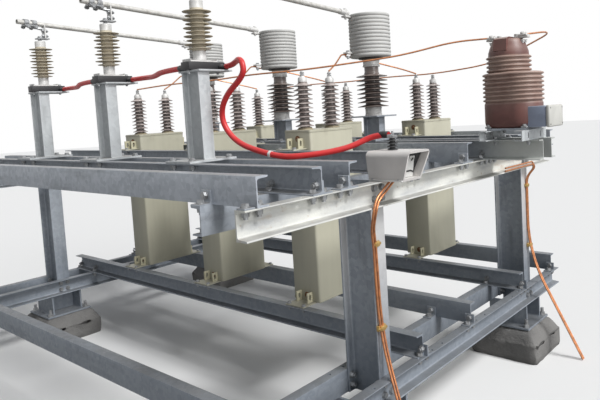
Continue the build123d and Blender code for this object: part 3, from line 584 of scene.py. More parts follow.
# Beams: the side that each web's flanges point to, in order from the front
beamSides = {
    "lower_beam_front": (1,),
    "lower_beam_front_row_front": (-1,),
    "lower_beam_front_row_rear": (1,),
    "lower_beam_rear_row_front": (-1,),
    "lower_beam_rear_row_rear": (1,),
    "upper_beam_front": (1,),
    "upper_beam_arresters": (-1, 1),
    "upper_beam_front_row_front": (-1,),
    "upper_beam_front_row_rear": (1,),
    "upper_beam_reactors": (-1, 1),
    "upper_beam_rear_row_front": (-1,),
    "upper_beam_rear_row_rear": (1,),
}
beamCoats = {"upper_beam_reactors": "fadedBeam", "upper_beam_front": "frontBeam"}
cleats = bmesh.new()
frameBolts = bmesh.new()
beamWebs = {}
thick, reach = cleatValues["thick"], cleatValues["boltReach"]
boltLine, boltFace = channelSection["boltLine"], channelSection["boltFace"]
for node, sides in beamSides.items():
    low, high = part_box(node)
    bm = bmesh.new()
    beamWebs[node] = []
    for index, side in enumerate(sides):
        nearEnd = low.y if index == 0 else high.y - flangeWidth
        web = nearEnd if side > 0 else nearEnd + flangeWidth
        beamWebs[node].append((web, side))
        addChannel(bm, "x", web, side, low.z, low.x, high.x)
        for flat in crossXs:
            addBolt(frameBolts, (flat, web + side * boltLine, low.z + boltFace), upward, 2 * channelSteel + 0.0003)
            addBolt(frameBolts, (flat, web - side * reach, low.z + thick), upward, thick + channelSteel)
            if node == "upper_beam_front" and flat == crossXs[0]:  # a flat clip in place of the angle
                addPlate(cleats, flat, web - 0.025, 0.020, 0.021, low.z, low.z + thick, 0.001)
                continue
            addCleat(cleats, web, side, flat, low.z)
            boltSeat = (flat, web - side * thick, low.z + cleatValues["boltLevel"])
            addBolt(frameBolts, boltSeat, (0, -side, 0), 0.011)
    finishPiece(bm, node + "Rolled", beamCoats.get(node, "beams"), [node])
finishPiece(cleats, "angleCleats", "galvanised")
print("channels, beams and cleats built")

# Legs: foot plate, wide stub with welds, rolled column and its bolts through the channel webs
legValues = {
    "plate": 0.300,
    "plateThick": 0.012,
    "stubWidth": 0.240,
    "stubDepth": 0.205,
    "stubPlate": 0.012,
    "section": (0.175, 0.085, 0.0058, 0.0086, 0.010),
    "weld": 0.005,
    "boltAcross": 0.024,
    "boltLevels": (0.028, 0.072),
    "anchorSpread": (0.125, 0.122),
}
anchorValues = {"washer": 0.019, "washerThick": 0.003, "across": 0.030, "nut": 0.016, "rod": 0.010, "height": 0.045}
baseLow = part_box("base_channels_right")[0]
topLow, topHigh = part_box("top_channel_right_outer")


# Rolled I section given as depth, width, web, flange and root radius
def addISection(bm, x, y, low, high, section):
    depth, width, web, flange, root = section
    halfDepth, halfWidth, halfWeb = depth / 2, width / 2, web / 2
    quarter = [(-halfDepth, -halfWidth), (-halfDepth + flange, -halfWidth), (-halfDepth + flange, -halfWeb)]
    half = quarter + [(-across, along) for across, along in reversed(quarter)]
    outline = half + [(across, -along) for across, along in reversed(half)]
    rounds = [0.001, 0.002, root, root, 0.002, 0.001] * 2
    addSection(bm, [(x + across, y + along, low) for across, along in outline], rounds, (0, 0, high - low))


for node in ("leg_front_right", "leg_rear_right", "leg_front_left", "leg_rear_left"):
    low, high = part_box(node)
    x, y = (low.x + high.x) / 2, (low.y + high.y) / 2
    bm = bmesh.new()
    plate = legValues["plate"] / 2
    stubLow = low.z + legValues["plateThick"]
    addPlate(bm, x, y, plate, plate, low.z, stubLow, 0.0015)
    halfStub, halfDepth, plateStub = legValues["stubWidth"] / 2, legValues["stubDepth"] / 2, legValues["stubPlate"]
    addPlate(bm, x, y, plateStub / 2, halfDepth - plateStub, stubLow, baseLow.z)
    for turnSide in (-1, 1):
        edge = y + turnSide * halfDepth
        inner = edge - turnSide * plateStub
        addPlate(bm, x, (edge + inner) / 2, halfStub, plateStub / 2, stubLow, baseLow.z, 0.0012)
        for weldY in (edge, inner):
            addRod(bm, (x - halfStub, weldY, stubLow), (x + halfStub, weldY, stubLow), legValues["weld"], 8)
    addISection(bm, x, y, baseLow.z, high.z, legValues["section"])
    # the right legs carry painted light on their lamp-facing sides
    finishPiece(bm, node + "Rolled", "paintedLightLeg" if x > 0 else "galvanised", [node])
    anchorX, anchorY = legValues["anchorSpread"]
    for sideX, sideY in quarters:
        spot = Vector((x + sideX * anchorX, y + sideY * anchorY, stubLow))
        washerTop = spot + Vector((0, 0, anchorValues["washerThick"]))
        addRod(frameBolts, spot, washerTop, anchorValues["washer"], 14)
        addHex(frameBolts, washerTop, upward, anchorValues["across"], anchorValues["nut"])
        addRod(frameBolts, spot, spot + Vector((0, 0, anchorValues["height"])), anchorValues["rod"], 10)
    for web, flangeSide in channelPairs[node.split("_")[2]]:
        for level in (baseLow.z, topLow.z):
            for height in legValues["boltLevels"]:
                for across in (-legValues["boltAcross"], legValues["boltAcross"]):
                    seat = (web + flangeSide * 0.005, y + across, level + height)
                    addBolt(frameBolts, seat, (flangeSide, 0, 0), 0.005 + legValues["section"][3])
print("legs built")

# Pedestals: cast concrete with worn edges, lumps and a hipped top
pedestalValues = {
    "edge": 0.105, "topSide": 0.1625, "wear": 0.022, "cuts": 3, "longest": 0.030,
    "lump": 0.010, "scale": 14.0, "flat": 0.152, "sole": 0.012,
}


def pedestalPiece(node):
    values = pedestalValues
    low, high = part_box(node)
    middle, half = (low + high) / 2, (high - low) / 2
    bm = bmesh.new()
    for vert in bmesh.ops.create_grid(bm, x_segments=1, y_segments=1, size=1.0)["verts"]:
        vert.co = (middle.x + vert.co.x * half.x, middle.y + vert.co.y * half.y, low.z)
    face = bm.faces[:]
    topSide = values["topSide"]
    for level, halfX, halfY in ((low.z + values["edge"], half.x, half.y), (high.z, topSide, topSide)):
        made = bmesh.ops.extrude_face_region(bm, geom=face)["geom"]
        face = [item for item in made if isinstance(item, bmesh.types.BMFace)]
        for vert in newVerts(made):
            signX, signY = (1 if vert.co.x > middle.x else -1), (1 if vert.co.y > middle.y else -1)
            vert.co = (middle.x + signX * halfX, middle.y + signY * halfY, level)
    bmesh.ops.holes_fill(bm, edges=[edge for edge in bm.edges if edge.is_boundary])
    bmesh.ops.recalc_face_normals(bm, faces=bm.faces)
    bevelEdges(bm, bm.edges, values["wear"], 2)
    bmesh.ops.triangulate(bm, faces=bm.faces)
    for cut in range(values["cuts"]):
        longEdges = [edge for edge in bm.edges if edge.calc_length() > values["longest"]]
        bmesh.ops.subdivide_edges(bm, edges=longEdges, cuts=1, use_grid_fill=True)
        bmesh.ops.triangulate(bm, faces=bm.faces)
    bm.normal_update()
    for vert in bm.verts:
        away = vert.co - middle
        if max(abs(away.x), abs(away.y)) < values["flat"] and vert.co.z > high.z - 0.002:
            continue
        lump = noise.fractal(vert.co * values["scale"], 0.9, 2.1, 5)
        moved = vert.co - vert.normal * values["lump"] * min(max(0.5 + 0.5 * lump, 0.0), 1.0)
        vert.co = (moved.x, moved.y, max(moved.z, low.z))
    for vert in bm.verts:
        if vert.co.z < low.z + values["sole"]:
            vert.co.z = low.z
    finishPiece(bm, node + "Cast", "concrete", [node], 60)


for node in ("pedestal_front_right", "pedestal_rear_right", "pedestal_front_left", "pedestal_rear_left"):
    pedestalPiece(node)
print("pedestals built")

# Posts under the arresters and the reactors: plates as length, width and shift, rolled section, welds, bolts
postValues = {"section": (0.120, 0.058, 0.005, 0.008, 0.007), "base": 0.010, "seat": 0.008, "weld": 0.004}
postNodes = {
    "arrester_posts": {"base": (0.180, 0.246, 0.0), "seat": (0.150, 0.178, 0.055), "bolts": (0.068, 0.098)},
    "reactor_posts": {"base": (0.200, 0.204, -0.023), "seat": (0.200, 0.200, 0.0), "bolts": (0.080, 0.079)},
}


def middlesOf(boxes, axis):
    return [(low[axis] + high[axis]) / 2 for low, high in boxes]


reactorBoxes = [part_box("reactor_" + str(number)) for number in (1, 2, 3)]
arresterBoxes = [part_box("arrester_" + str(number)) for number in (1, 2, 3)]
postXs = {"arrester_posts": middlesOf(arresterBoxes, 0), "reactor_posts": middlesOf(reactorBoxes, 0)}
arresterY, reactorY = middlesOf([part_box("upper_beam_arresters"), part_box("reactor_insulators")], 1)
for node, y in (("arrester_posts", arresterY), ("reactor_posts", reactorY)):
    values = postNodes[node]
    low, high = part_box(node)
    columnLow, columnHigh = low.z + postValues["base"], high.z - postValues["seat"]
    bm = bmesh.new()
    for x in postXs[node]:
        for key, plateLow, plateHigh in (("base", low.z, columnLow), ("seat", columnHigh, high.z)):
            length, width, shift = values[key]
            addPlate(bm, x, y + shift, length / 2, width / 2, plateLow, plateHigh, 0.0012)
        boltX, boltY = values["bolts"]
        for sideX, sideY in quarters:
            spot = (x + sideX * boltX, y + values["base"][2] + sideY * boltY, columnLow)
            addBolt(frameBolts, spot, upward, postValues["base"] + channelSteel)
        addISection(bm, x, y, columnLow, columnHigh, postValues["section"])
        for sideX in (-1, 1):
            for level in (columnLow, columnHigh):
                face, halfWidth = x + sideX * postValues["section"][0] / 2, postValues["section"][1] / 2
                addRod(bm, (face, y - halfWidth, level), (face, y + halfWidth, level), postValues["weld"], 8)
    finishPiece(bm, node + "Rolled", "posts" if node == "arrester_posts" else "galvanised", [node])
print("posts built")

# Capacitor cans: folded case, rolled lid seam, foot straps, upper feet, ears with long holes, fasteners
canValues = {
    "length": 0.190, "width": 0.343, "corner": 0.012, "lid": 0.004, "seam": 0.0022, "seamHeight": 0.009,
    "front": 0.058, "strap": 0.130, "strapThick": 0.006, "footLength": 0.095, "footBolts": 0.052,
    "upperFeet": 0.100, "upperBolt": 0.078, "strapBolt": 0.016,
    "rustLevels": (0.030, 0.046),
}
earValues = {"pitch": 0.078, "thick": 0.008, "reach": 0.038, "height": 0.052, "holeLength": 0.030, "holeWidth": 0.014}


def addEar(bm, x, faceY, level, end):
    values = earValues
    reach, height = values["reach"], values["height"]
    middle = Vector((x, faceY + end * reach / 2, level + height / 2))
    straight = (values["holeLength"] - values["holeWidth"]) / 2
    rings = []
    for across in (-values["thick"] / 2, values["thick"] / 2):
        outer = bmesh.ops.create_circle(bm, segments=16, radius=1.0)["verts"]
        inner = bmesh.ops.create_circle(bm, segments=16, radius=1.0)["verts"]
        for vert in outer:
            peak = max(abs(vert.co.x), abs(vert.co.y))
            spot = Vector((across, reach / 2 * vert.co.x / peak, height / 2 * vert.co.y / peak))
            vert.co = middle + spot
        for vert in inner:
            lift = straight if vert.co.y > 0.01 else -straight if vert.co.y < -0.01 else 0
            hole = values["holeWidth"] / 2
            vert.co = middle + Vector((across, hole * vert.co.x, hole * vert.co.y + lift))
        rings += [edgesOf(outer), edgesOf(inner)]
    for first, second in ((0, 1), (2, 3), (0, 2), (1, 3)):
        bmesh.ops.bridge_loops(bm, edges=rings[first] + rings[second])


canFaces = {}
ears = bmesh.new()
rustBolts = bmesh.new()
halfX, halfY, half = canValues["length"] / 2, canValues["width"] / 2, canValues["strap"] / 2
corners = [(-halfX, -halfY), (halfX, -halfY), (halfX, halfY), (-halfX, halfY)]
strapThick = canValues["strapThick"]
strapGrip = strapThick + channelSteel
upperLevel = topHigh.z + canValues["upperFeet"]
for rowName in ("front", "rear"):
    canFaces[rowName] = beamWebs["lower_beam_" + rowName + "_row_front"][0][0] + canValues["front"]
    for number in (1, 2, 3):
        node = "capacitor_" + rowName + "_" + str(number)
        low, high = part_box(node)
        x, y = (low.x + high.x) / 2, canFaces[rowName] + halfY
        caseLow = low.z + strapThick
        bm = bmesh.new()
        case = [(x + across, y + along, caseLow) for across, along in corners]
        addSection(bm, case, [canValues["corner"]] * 4, (0, 0, high.z - caseLow))
        lidEdges = [edge for edge in bm.edges if all(abs(vert.co.z - high.z) < 1e-5 for vert in edge.verts)]
        bevelEdges(bm, lidEdges, canValues["lid"], 2)
        wider = canValues["seam"]
        for seamLow in (high.z - canValues["lid"] - canValues["seamHeight"], caseLow + canValues["lid"]):
            ring = [
                (x + across + (wider if across > 0 else -wider), y + along + (wider if along > 0 else -wider), seamLow)
                for across, along in corners
            ]
            addSection(bm, ring, [canValues["corner"] + wider] * 4, (0, 0, canValues["seamHeight"]))
        addBlock(bm, (x - half, low.y, low.z), (x + half, high.y, caseLow), 0.001)
        for end, strapEnd in ((-1, low.y), (1, high.y)):
            faceY = y + end * halfY
            footY = faceY + end * canValues["footLength"] / 2
            addPlate(bm, x, footY, half, canValues["footLength"] / 2, upperLevel, upperLevel + strapThick, 0.001)
            for level in (caseLow, upperLevel + strapThick):
                for across in (-earValues["pitch"] / 2, earValues["pitch"] / 2):
                    addEar(ears, x + across, faceY, level, end)
            for across in (-canValues["footBolts"], canValues["footBolts"]):
                spot = (x + across, faceY + end * canValues["upperBolt"], upperLevel + strapThick)
                addBolt(frameBolts, spot, upward, strapGrip, 12)
                spot = (x + across, strapEnd - end * canValues["strapBolt"], caseLow)
                addBolt(frameBolts, spot, upward, strapGrip, 12)
            lowRust, highRust = canValues["rustLevels"]
            for level in (caseLow + lowRust, high.z - highRust):
                addHex(rustBolts, (x + 0.004, faceY, level), (0, end, 0), 0.019, 0.008)
                addRod(rustBolts, (x + 0.004, faceY, level), (x + 0.004, faceY + end * 0.0012, level), 0.017, 16)
        finishPiece(bm, node + "Case", "can_paint", [node])
finishPiece(ears, "canEars", "earPaint")
finishPiece(rustBolts, "canBolts", "rust")
print("cans built")


# Sheds: sloped top, rounded tip, drip edge and hollow underside
def shedOutline(base, core, radii, pitch, start=0.16, thick=0.13, fall=0.42):
    points = [(core, base)]
    for index, radius in enumerate(radii):
        reach = radius - core
        points += [(inner, base + (index + share) * pitch) for inner, share in (
            (core, start),
            (core + reach * 0.35, start + 0.07),
            (radius - reach * 0.10, start - 0.02),
            (radius - reach * 0.02, start),
            (radius, start + thick * 0.55),
            (radius - reach * 0.04, start + thick),
            (core + reach * 0.45, start + thick + fall * 0.5),
            (core + reach * 0.10, start + thick + fall * 0.92),
            (core, start + thick + fall * 1.15),
        )]
    points.append((core, base + len(radii) * pitch))
    return points


# Bushings: glazed sheds on a flange, rusty collar, cast cap with two nuts
bushingValues = {
    "sheds": 10, "pitch": 0.0235, "core": 0.026, "radius": 0.050, "flange": 0.013, "apart": 0.214,
    "nuts": (0.036, 0.047),
}
bushingRadii = [bushingValues["radius"]] * bushingValues["sheds"]
sheds = shedOutline(bushingValues["flange"], bushingValues["core"], bushingRadii, bushingValues["pitch"])
capLow = sheds[-1][1]
glaze = [(0, 0.002), (0.034, 0.002), (0.034, bushingValues["flange"]), *sheds, (0, capLow)]
collar = [(0, 0), (0.042, 0), (0.042, 0.004), (0.038, 0.0065), (0.036, 0.010), (0.0335, 0.0125), (0.0255, 0.0128)]
cap = [(radius, capLow + height) for radius, height in (
    (0, 0), (0.021, 0), (0.024, 0.003), (0.024, 0.020), (0.021, 0.026),
    (0.015, 0.029), (0.0135, 0.034), (0.008, 0.034), (0.008, 0.059), (0, 0.059),
)]
canXs = postXs["reactor_posts"]
for rowName, rowY in canFaces.items():
    node = "bushings_" + rowName + "_row"
    base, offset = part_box(node)[0].z, bushingValues["apart"] / 2
    centres = [(x, rowY + halfY + side * offset, base) for x in canXs for side in (-1, 1)]
    name = rowName + "Bushing"
    turnedPiece(glaze, centres, name + "Sheds", "porcelain", [node], 28, 40)
    turnedPiece(collar, centres, name + "Collars", "collarPaint", (), 28)
    turnedPiece(cap, centres, name + "Caps", "castAluminium", (), 20)
    for x, y, z in centres:
        for level in bushingValues["nuts"]:
            addHex(frameBolts, (x, y, z + capLow + level), upward, 0.022, 0.007)
print("bushings built")

# Arresters: insulated bar, light tray, big and small sheds on a beige core, foot and cap
arresterValues = {
    "pitch": 0.0180, "core": 0.029, "radii": (0.0525, 0.0625), "sheds": 10, "shift": 0.015, "half": 0.030,
    "barHalf": 0.095, "barHeight": 0.036, "trayHalf": 0.070, "trayHeight": 0.042, "bolts": 0.076, "cap": 0.035,
}
axisY = middlesOf(arresterBoxes, 1)[0] - arresterValues["shift"]
arresterFeet = [(x, axisY, arresterBoxes[0][0].z + arresterValues["trayHeight"]) for x in postXs["arrester_posts"]]
radii = arresterValues["radii"] * (arresterValues["sheds"] // 2)
body = shedOutline(0.044, arresterValues["core"], radii, arresterValues["pitch"], 0.40, 0.11, 0.30)
bodyTop = body[-1][1] + 0.004
housing = [(0, 0.043), (0.030, 0.043), *body, (0.029, bodyTop), (0, bodyTop)]
foot = [(0, 0), (0.026, 0), (0.028, 0.002), (0.028, 0.041), (0.0265, 0.044), (0, 0.044)]
top = [(0, bodyTop), (0.029, bodyTop), (0.029, bodyTop + 0.032), (0.026, bodyTop + 0.035), (0, bodyTop + 0.035)]
half, bar, tray = (arresterValues[key] for key in ("half", "barHalf", "trayHalf"))
lip = [(-tray, 0), (tray, 0), (tray, 0.012), (tray - 0.003, 0.012), (tray - 0.003, 0.006), (-tray + 0.003, 0.006)]
lip += [(-tray + 0.003, 0.012), (-tray, 0.012)]
middle = axisY + arresterValues["shift"]
for number, (place, (low, high)) in enumerate(zip(arresterFeet, arresterBoxes), 1):
    x = place[0]
    name = "arrester" + str(number)
    barTop = low.z + arresterValues["barHeight"]
    bm = bmesh.new()
    addPlate(bm, x, middle, half, bar, low.z, barTop, 0.002, 2)
    finishPiece(bm, name + "Bar", "black_polymer")
    bm = bmesh.new()
    addSection(bm, [(x - half, axisY + along, barTop + up) for along, up in lip], [0] * 8, (2 * half, 0, 0))
    finishPiece(bm, name + "Tray", "castAluminium")
    turnedPiece(housing, [place], name + "Sheds", "arrester_polymer", [f"arrester_{number}"], 36, 40)
    turnedPiece(foot, [place], name + "Foot", "castAluminium", (), 28)
    turnedPiece(top, [place], name + "Cap", "castAluminium", (), 28)
    for side in (-1, 1):
        addBolt(frameBolts, (x, middle + side * arresterValues["bolts"], barTop), upward, 0.034, 12)
print("arresters built")

# Insulators under the reactors: foot cap, dark sheds, top cap
insulatorValues = {"sheds": 8, "pitch": 0.026, "core": 0.046, "radius": 0.095, "foot": 0.049, "height": 0.335}
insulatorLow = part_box("reactor_insulators")[0].z
insulatorBase = [(x, reactorY, insulatorLow) for x in canXs]
insulatorRadii = [insulatorValues["radius"]] * insulatorValues["sheds"]
sheds = shedOutline(insulatorValues["foot"], insulatorValues["core"], insulatorRadii, insulatorValues["pitch"])
glazed = [(0, 0.044), (0.047, 0.044), *sheds, (0.043, sheds[-1][1] + 0.004), (0.043, 0.298), (0, 0.298)]
footCap = [
    (0, 0), (0.052, 0), (0.052, 0.008), (0.0495, 0.011), (0.0495, 0.040), (0.052, 0.043),
    (0.052, 0.051), (0.046, 0.051),
]
topCap = [
    (0.042, 0.295), (0.052, 0.295), (0.052, 0.300), (0.049, 0.304), (0.049, 0.325), (0.052, 0.329),
    (0.052, 0.335), (0, 0.335),
]
turnedPiece(glazed, insulatorBase, "insulatorSheds", "brown_glaze", ["reactor_insulators"], 40, 40)
turnedPiece(footCap, insulatorBase, "insulatorFeet", "castAluminium", (), 32)
turnedPiece(topCap, insulatorBase, "insulatorCaps", "castAluminium", (), 32)

# Reactors: dark disc, rusty ring, ribbed winding, lugs with bolts
reactorValues = {
    "ribs": 12, "radius": 0.125, "depth": 0.006, "height": 0.256, "foot": 0.015, "core": 0.112,
    "lugShift": (-0.060, -0.165), "lugHalf": 0.017, "lugLength": 0.075, "lugThick": 0.010,
}
windingLow, windingTop = reactorValues["foot"], reactorValues["foot"] + reactorValues["height"]
ribPitch = reactorValues["height"] / reactorValues["ribs"]
ribProfile = ((0.04, 1.0), (0.16, 0.45), (0.32, 0.05), (0.55, 0.0), (0.78, 0.10), (0.92, 0.5))
winding = [(0, windingLow), (reactorValues["core"], windingLow)]
for rib in range(reactorValues["ribs"]):
    for share, depth in ribProfile:
        level = windingLow + (rib + share) * ribPitch
        winding.append((reactorValues["radius"] - reactorValues["depth"] * depth, level))
winding += [(reactorValues["core"], windingTop), (0, windingTop)]
disc = [(0, 0.0055), (0.072, 0.0055), (0.075, 0.007), (0.075, 0.0132), (0.072, 0.0148), (0, 0.0148)]
ring = [(0, 0), (0.050, 0), (0.052, 0.002), (0.052, 0.0055), (0, 0.0055)]
lugHalf, lugThick = reactorValues["lugHalf"], reactorValues["lugThick"]
for number, (low, high) in enumerate(reactorBoxes, 1):
    x = (low.x + high.x) / 2
    base = insulatorLow + insulatorValues["height"]
    name = "reactor" + str(number)
    turnedPiece(winding, [(x, reactorY, base)], name + "Winding", "reactor_resin", ["reactor_" + str(number)], 56, 50)
    turnedPiece(disc, [(x, reactorY, base)], name + "Disc", "black_polymer", (), 32)
    turnedPiece(ring, [(x, reactorY, base)], name + "Ring", "rustyBeige", (), 32)
    bm = bmesh.new()
    lugX, lugY = x + reactorValues["lugShift"][0], reactorY + reactorValues["lugShift"][1]
    lugLow = base + windingLow + 0.022
    lugHigh = high.z - lugThick if high.z > base + windingTop else base + 0.250
    for level in (lugLow, lugHigh):
        lugEnd = (lugX + lugHalf, lugY + reactorValues["lugLength"], level + lugThick)
        addBlock(bm, (lugX - lugHalf, lugY, level), lugEnd, 0.0015, 2)
    finishPiece(bm, name + "Lugs", "castAluminium")
    addBolt(frameBolts, (lugX + 0.004, lugY + 0.018, lugLow + lugThick), upward, 0.022, 12)
print("reactors built")

# Line tubes with open ends, on brackets over the arresters and on clamps over the reactor lugs
tubeValues = {
    "outer": 0.0135, "inner": 0.0110, "ahead": 0.125, "frontLevel": 0.905, "rearLevel": 0.862, "side": -0.060,
    "rearShift": -0.1275, "clampOuter": 0.0205, "halfWidth": 0.020, "plate": 0.007, "upright": 0.024,
    "bolts": (0.020, 0.050), "clampSpots": (0.088, 0.016), "under": 0.0165, "clampHalf": 0.013,
}
tubes = bmesh.new()
tubeClamps = bmesh.new()
darkClamps = bmesh.new()
capTop = arresterFeet[0][2] + bodyTop + arresterValues["cap"]
half, plate, upright = (tubeValues[key] for key in ("halfWidth", "plate", "upright"))
seat = capTop + 0.012
for arresterX, canX in zip(postXs["arrester_posts"], canXs):
    overStud = Vector((arresterX, axisY, topHigh.z + tubeValues["frontLevel"]))
    rearY = reactorY + tubeValues["rearShift"]
    overLug = Vector((canX + tubeValues["side"], rearY, topHigh.z + tubeValues["rearLevel"]))
    along = (overLug - overStud).normalized()
    across = Vector(upward).cross(along).normalized()
    under = along.cross(across) * -tubeValues["under"]
    addTube(tubes, overStud - along * tubeValues["ahead"], overLug, tubeValues["outer"], tubeValues["inner"])
    # Stud, nuts, seat plate and upright plate with two bolts
    addRod(darkClamps, (arresterX, axisY, capTop), (arresterX, axisY, seat + plate + 0.012), 0.007, 12)
    for level, height in ((seat + plate, 0.009), (capTop, 0.008)):
        addHex(darkClamps, (arresterX, axisY, level), upward, 0.022, height)
    addPlate(darkClamps, arresterX, axisY + 0.015, half, 0.035, seat, seat + plate, 0.001)
    plateY, plateTop = axisY + upright + plate / 2, overStud.z - 0.004
    addPlate(tubeClamps, arresterX, plateY, half, plate / 2, seat + plate, plateTop, 0.001)
    for level in tubeValues["bolts"]:
        boltSeat = (arresterX + 0.004, axisY + upright, seat + plate + level - 0.006)
        addBolt(darkClamps, boltSeat, (0, -1, 0), plate, 12)
    # Two saddle clamps ahead of the stud, on two bars that reach back to the upright plate
    place = [overStud - along * distance + under for distance in tubeValues["clampSpots"]]
    for sideways in (-1, 1):
        edge = across * sideways * 0.017
        addRod(darkClamps, place[0] + edge, place[1] + edge, 0.006, 10)
    for share in (0.18, 0.82):
        spot = place[0].lerp(place[1], share)
        reach = along * tubeValues["clampHalf"]
        clampInner = tubeValues["outer"] + 0.0002
        addTube(darkClamps, spot - under - reach, spot - under + reach, tubeValues["clampOuter"], clampInner)
        addBolt(darkClamps, spot + across * -0.026 + under * 0.35, -across, 0.052, 12)
    armStart, armEnd = place[1] + under * 0.4 - along * 0.030, Vector((arresterX, axisY + upright, overStud.z - 0.030))
    for sideways in (-0.010, 0.010):
        addRod(darkClamps, armStart + across * sideways, armEnd + Vector((sideways, 0, 0)), 0.006, 10)
    addRod(tubeClamps, overLug - along * 0.074, overLug + along * 0.001, tubeValues["under"], 20)
    addBolt(tubeClamps, overLug - along * 0.020 + Vector((0, 0, 0.015)), upward, 0.036, 12)
finishPiece(tubes, "lineTubesDrawn", "tube_aluminium", ["line_tubes"])
finishPiece(tubeClamps, "tubeClamps", "castAluminium")
finishPiece(darkClamps, "tubeBrackets", "boltZinc")

# Current transformer: smooth foot, drooping ribs, tapered head, raised wedge
ctValues = {
    "halfLength": 0.150, "halfWidth": 0.125, "corner": 0.110, "foot": 0.126, "pitch": 0.021, "inset": 0.012,
    "lip": 0.003, "headRadius": 0.111, "shift": -0.019, "footRibs": 7, "ribs": 11, "headHeight": 0.081,
}
ctLow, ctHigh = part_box("ct_body")
ctX, ctY, ctBase = (ctLow.x + ctHigh.x) / 2, (ctLow.y + ctHigh.y) / 2, ctLow.z
headX = ctX + ctValues["shift"]


def addRings(bm, rings, count=64):
    loops = []
    for middleX, halfX, halfY, corner, level in rings:
        loop = []
        for index in range(count):
            quarter = index * 4 // count
            angle = pi / 2 * quarter + pi / 2 * ((index % (count // 4)) + 0.5) / (count / 4)
            signX, signY = ((1, 1), (-1, 1), (-1, -1), (1, -1))[quarter]
            x = middleX + signX * (halfX - corner) + corner * cos(angle)
            y = ctY + signY * (halfY - corner) + corner * sin(angle)
            loop.append(bm.verts.new((x, y, ctBase + level)))
        loops.append(loop)
    for lower, upper in zip(loops, loops[1:]):
        for index in range(count):
            following = (index + 1) % count
            bm.faces.new((lower[index], lower[following], upper[following], upper[index]))
    bm.faces.new(list(reversed(loops[0])))
    bm.faces.new(loops[-1])


def ctRing(inset, height):
    return (ctX, *(ctValues[key] - inset for key in ("halfLength", "halfWidth", "corner")), height)


def headRing(radius, height):
    return (headX, radius, radius, radius - 1e-5, height)


footRings = ((0.038, 0.0), (0.021, 0.004), (0.012, 0.013), (0.009, 0.028), (0.009, 0.117), (0.0105, 0.123))
ribSteps = (
    (0.20, 0.96), (0.30, 0.62), (0.38, 0.16), (0.48, 0.0), (0.64, 0.0), (0.76, 0.14), (0.87, 0.52), (0.96, 0.96)
)
headRings = ((0.100, 0.002), (0.099, 0.018), (0.092, 0.040), (0.083, 0.062), (0.078, 0.076), (0.072, 0.081))
rings = [ctRing(inset, height) for inset, height in footRings]
for rib in range(ctValues["ribs"]):
    for share, depth in ribSteps:
        level = ctValues["foot"] + (rib + share) * ctValues["pitch"]
        inset = ctValues["inset"] * depth
        if rib < ctValues["footRibs"]:
            rings.append(ctRing(ctValues["lip"] + inset, level))
        else:
            rings.append(headRing(ctValues["headRadius"] - inset, level))
headBase = ctValues["foot"] + ctValues["ribs"] * ctValues["pitch"]
rings += [headRing(radius, headBase + height) for radius, height in headRings]
ct = bmesh.new()
addRings(ct, rings)
headTop = ctBase + headBase + ctValues["headHeight"]
crest = [(-0.060, 0), (0.060, 0), (0.056, 0.011), (0.030, 0.014), (-0.050, 0.014), (-0.062, 0.006)]
wedge = [(-0.091, -0.060), (-0.100, -0.058), (-0.094, -0.002), (-0.066, 0.008), (-0.050, 0.008), (-0.050, -0.060)]
for outline, halfThick, level, rounds in (
    (crest, 0.030, headTop - 0.004, [0, 0, 0.002, 0.002, 0.002, 0]),
    (wedge, 0.034, headTop, [0] * 6),
):
    points = [(headX - halfThick, ctY + along, level + height) for along, height in outline]
    addSection(ct, points, rounds, (2 * halfThick, 0, 0))
finishPiece(ct, "transformerBody", "ct_resin", ["ct_body"], 50)

# Transformer terminals: stepped bars with two-bolt clamps
terminalValues = {"bar": (0.034, 0.110), "clamp": (0.060, 0.106), "thick": 0.009, "bolt": 0.083, "stud": 0.046}
bm = bmesh.new()
thick = terminalValues["thick"]
for side in (-1, 1):
    for key, level, halfWidth, bevel in (("bar", headTop, 0.018, 0.0015), ("clamp", headTop + thick, 0.024, 0.003)):
        near, far = terminalValues[key]
        addPlate(bm, headX + side * (near + far) / 2, ctY, (far - near) / 2, halfWidth, level, level + thick, bevel, 2)
    for along in (-0.014, 0.014):
        spot = (headX + side * terminalValues["bolt"], ctY + along, headTop + 2 * thick)
        addBolt(bm, spot, upward, 0.026, 12)
    studX = headX + side * terminalValues["stud"]
    addRod(bm, (studX, ctY, headTop + 0.004), (studX, ctY, headTop + 0.022), 0.012, 16)
finishPiece(bm, "transformerTerminals", "castAluminium", ["ct_terminals"])

# Terminal box: body, gland boss, lid with four screws
boxValues = {"inward": 0.050, "lid": 0.046, "step": 0.002, "gland": (0.026, 0.050), "screw": 0.013}
boxLow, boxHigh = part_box("ct_terminal_box")
step, screw = boxValues["step"], boxValues["screw"]
lidX = boxLow.x + boxValues["lid"]
bm = bmesh.new()
bodyLow = (boxLow.x - boxValues["inward"], boxLow.y + step, boxLow.z + step)
addBlock(bm, bodyLow, (lidX, boxHigh.y - step, boxHigh.z - step), 0.005, 3)
gland = Vector((boxLow.x + boxValues["gland"][0], boxLow.y + step, boxLow.z + boxValues["gland"][1]))
addRod(bm, gland, gland - Vector((0, step, 0)), 0.016, 20)
# the body takes a darker blue copy of the lid's paint as painted shade
finishPiece(bm, "terminalBoxShell", "boxPaintedShade", ["ct_terminal_box"], 30)
bm = bmesh.new()
addBlock(bm, (lidX + 0.0002, boxLow.y, boxLow.z), boxHigh, 0.008, 3)
finishPiece(bm, "terminalBoxLid", "box_grey", (), 30)
bm = bmesh.new()
for y in (boxLow.y + screw, boxHigh.y - screw):
    for z in (boxLow.z + screw, boxHigh.z - screw):
        addRod(bm, (boxHigh.x - 0.004, y, z), (boxHigh.x, y, z), 0.0045, 12)
finishPiece(bm, "terminalBoxScrews", "boltZinc")

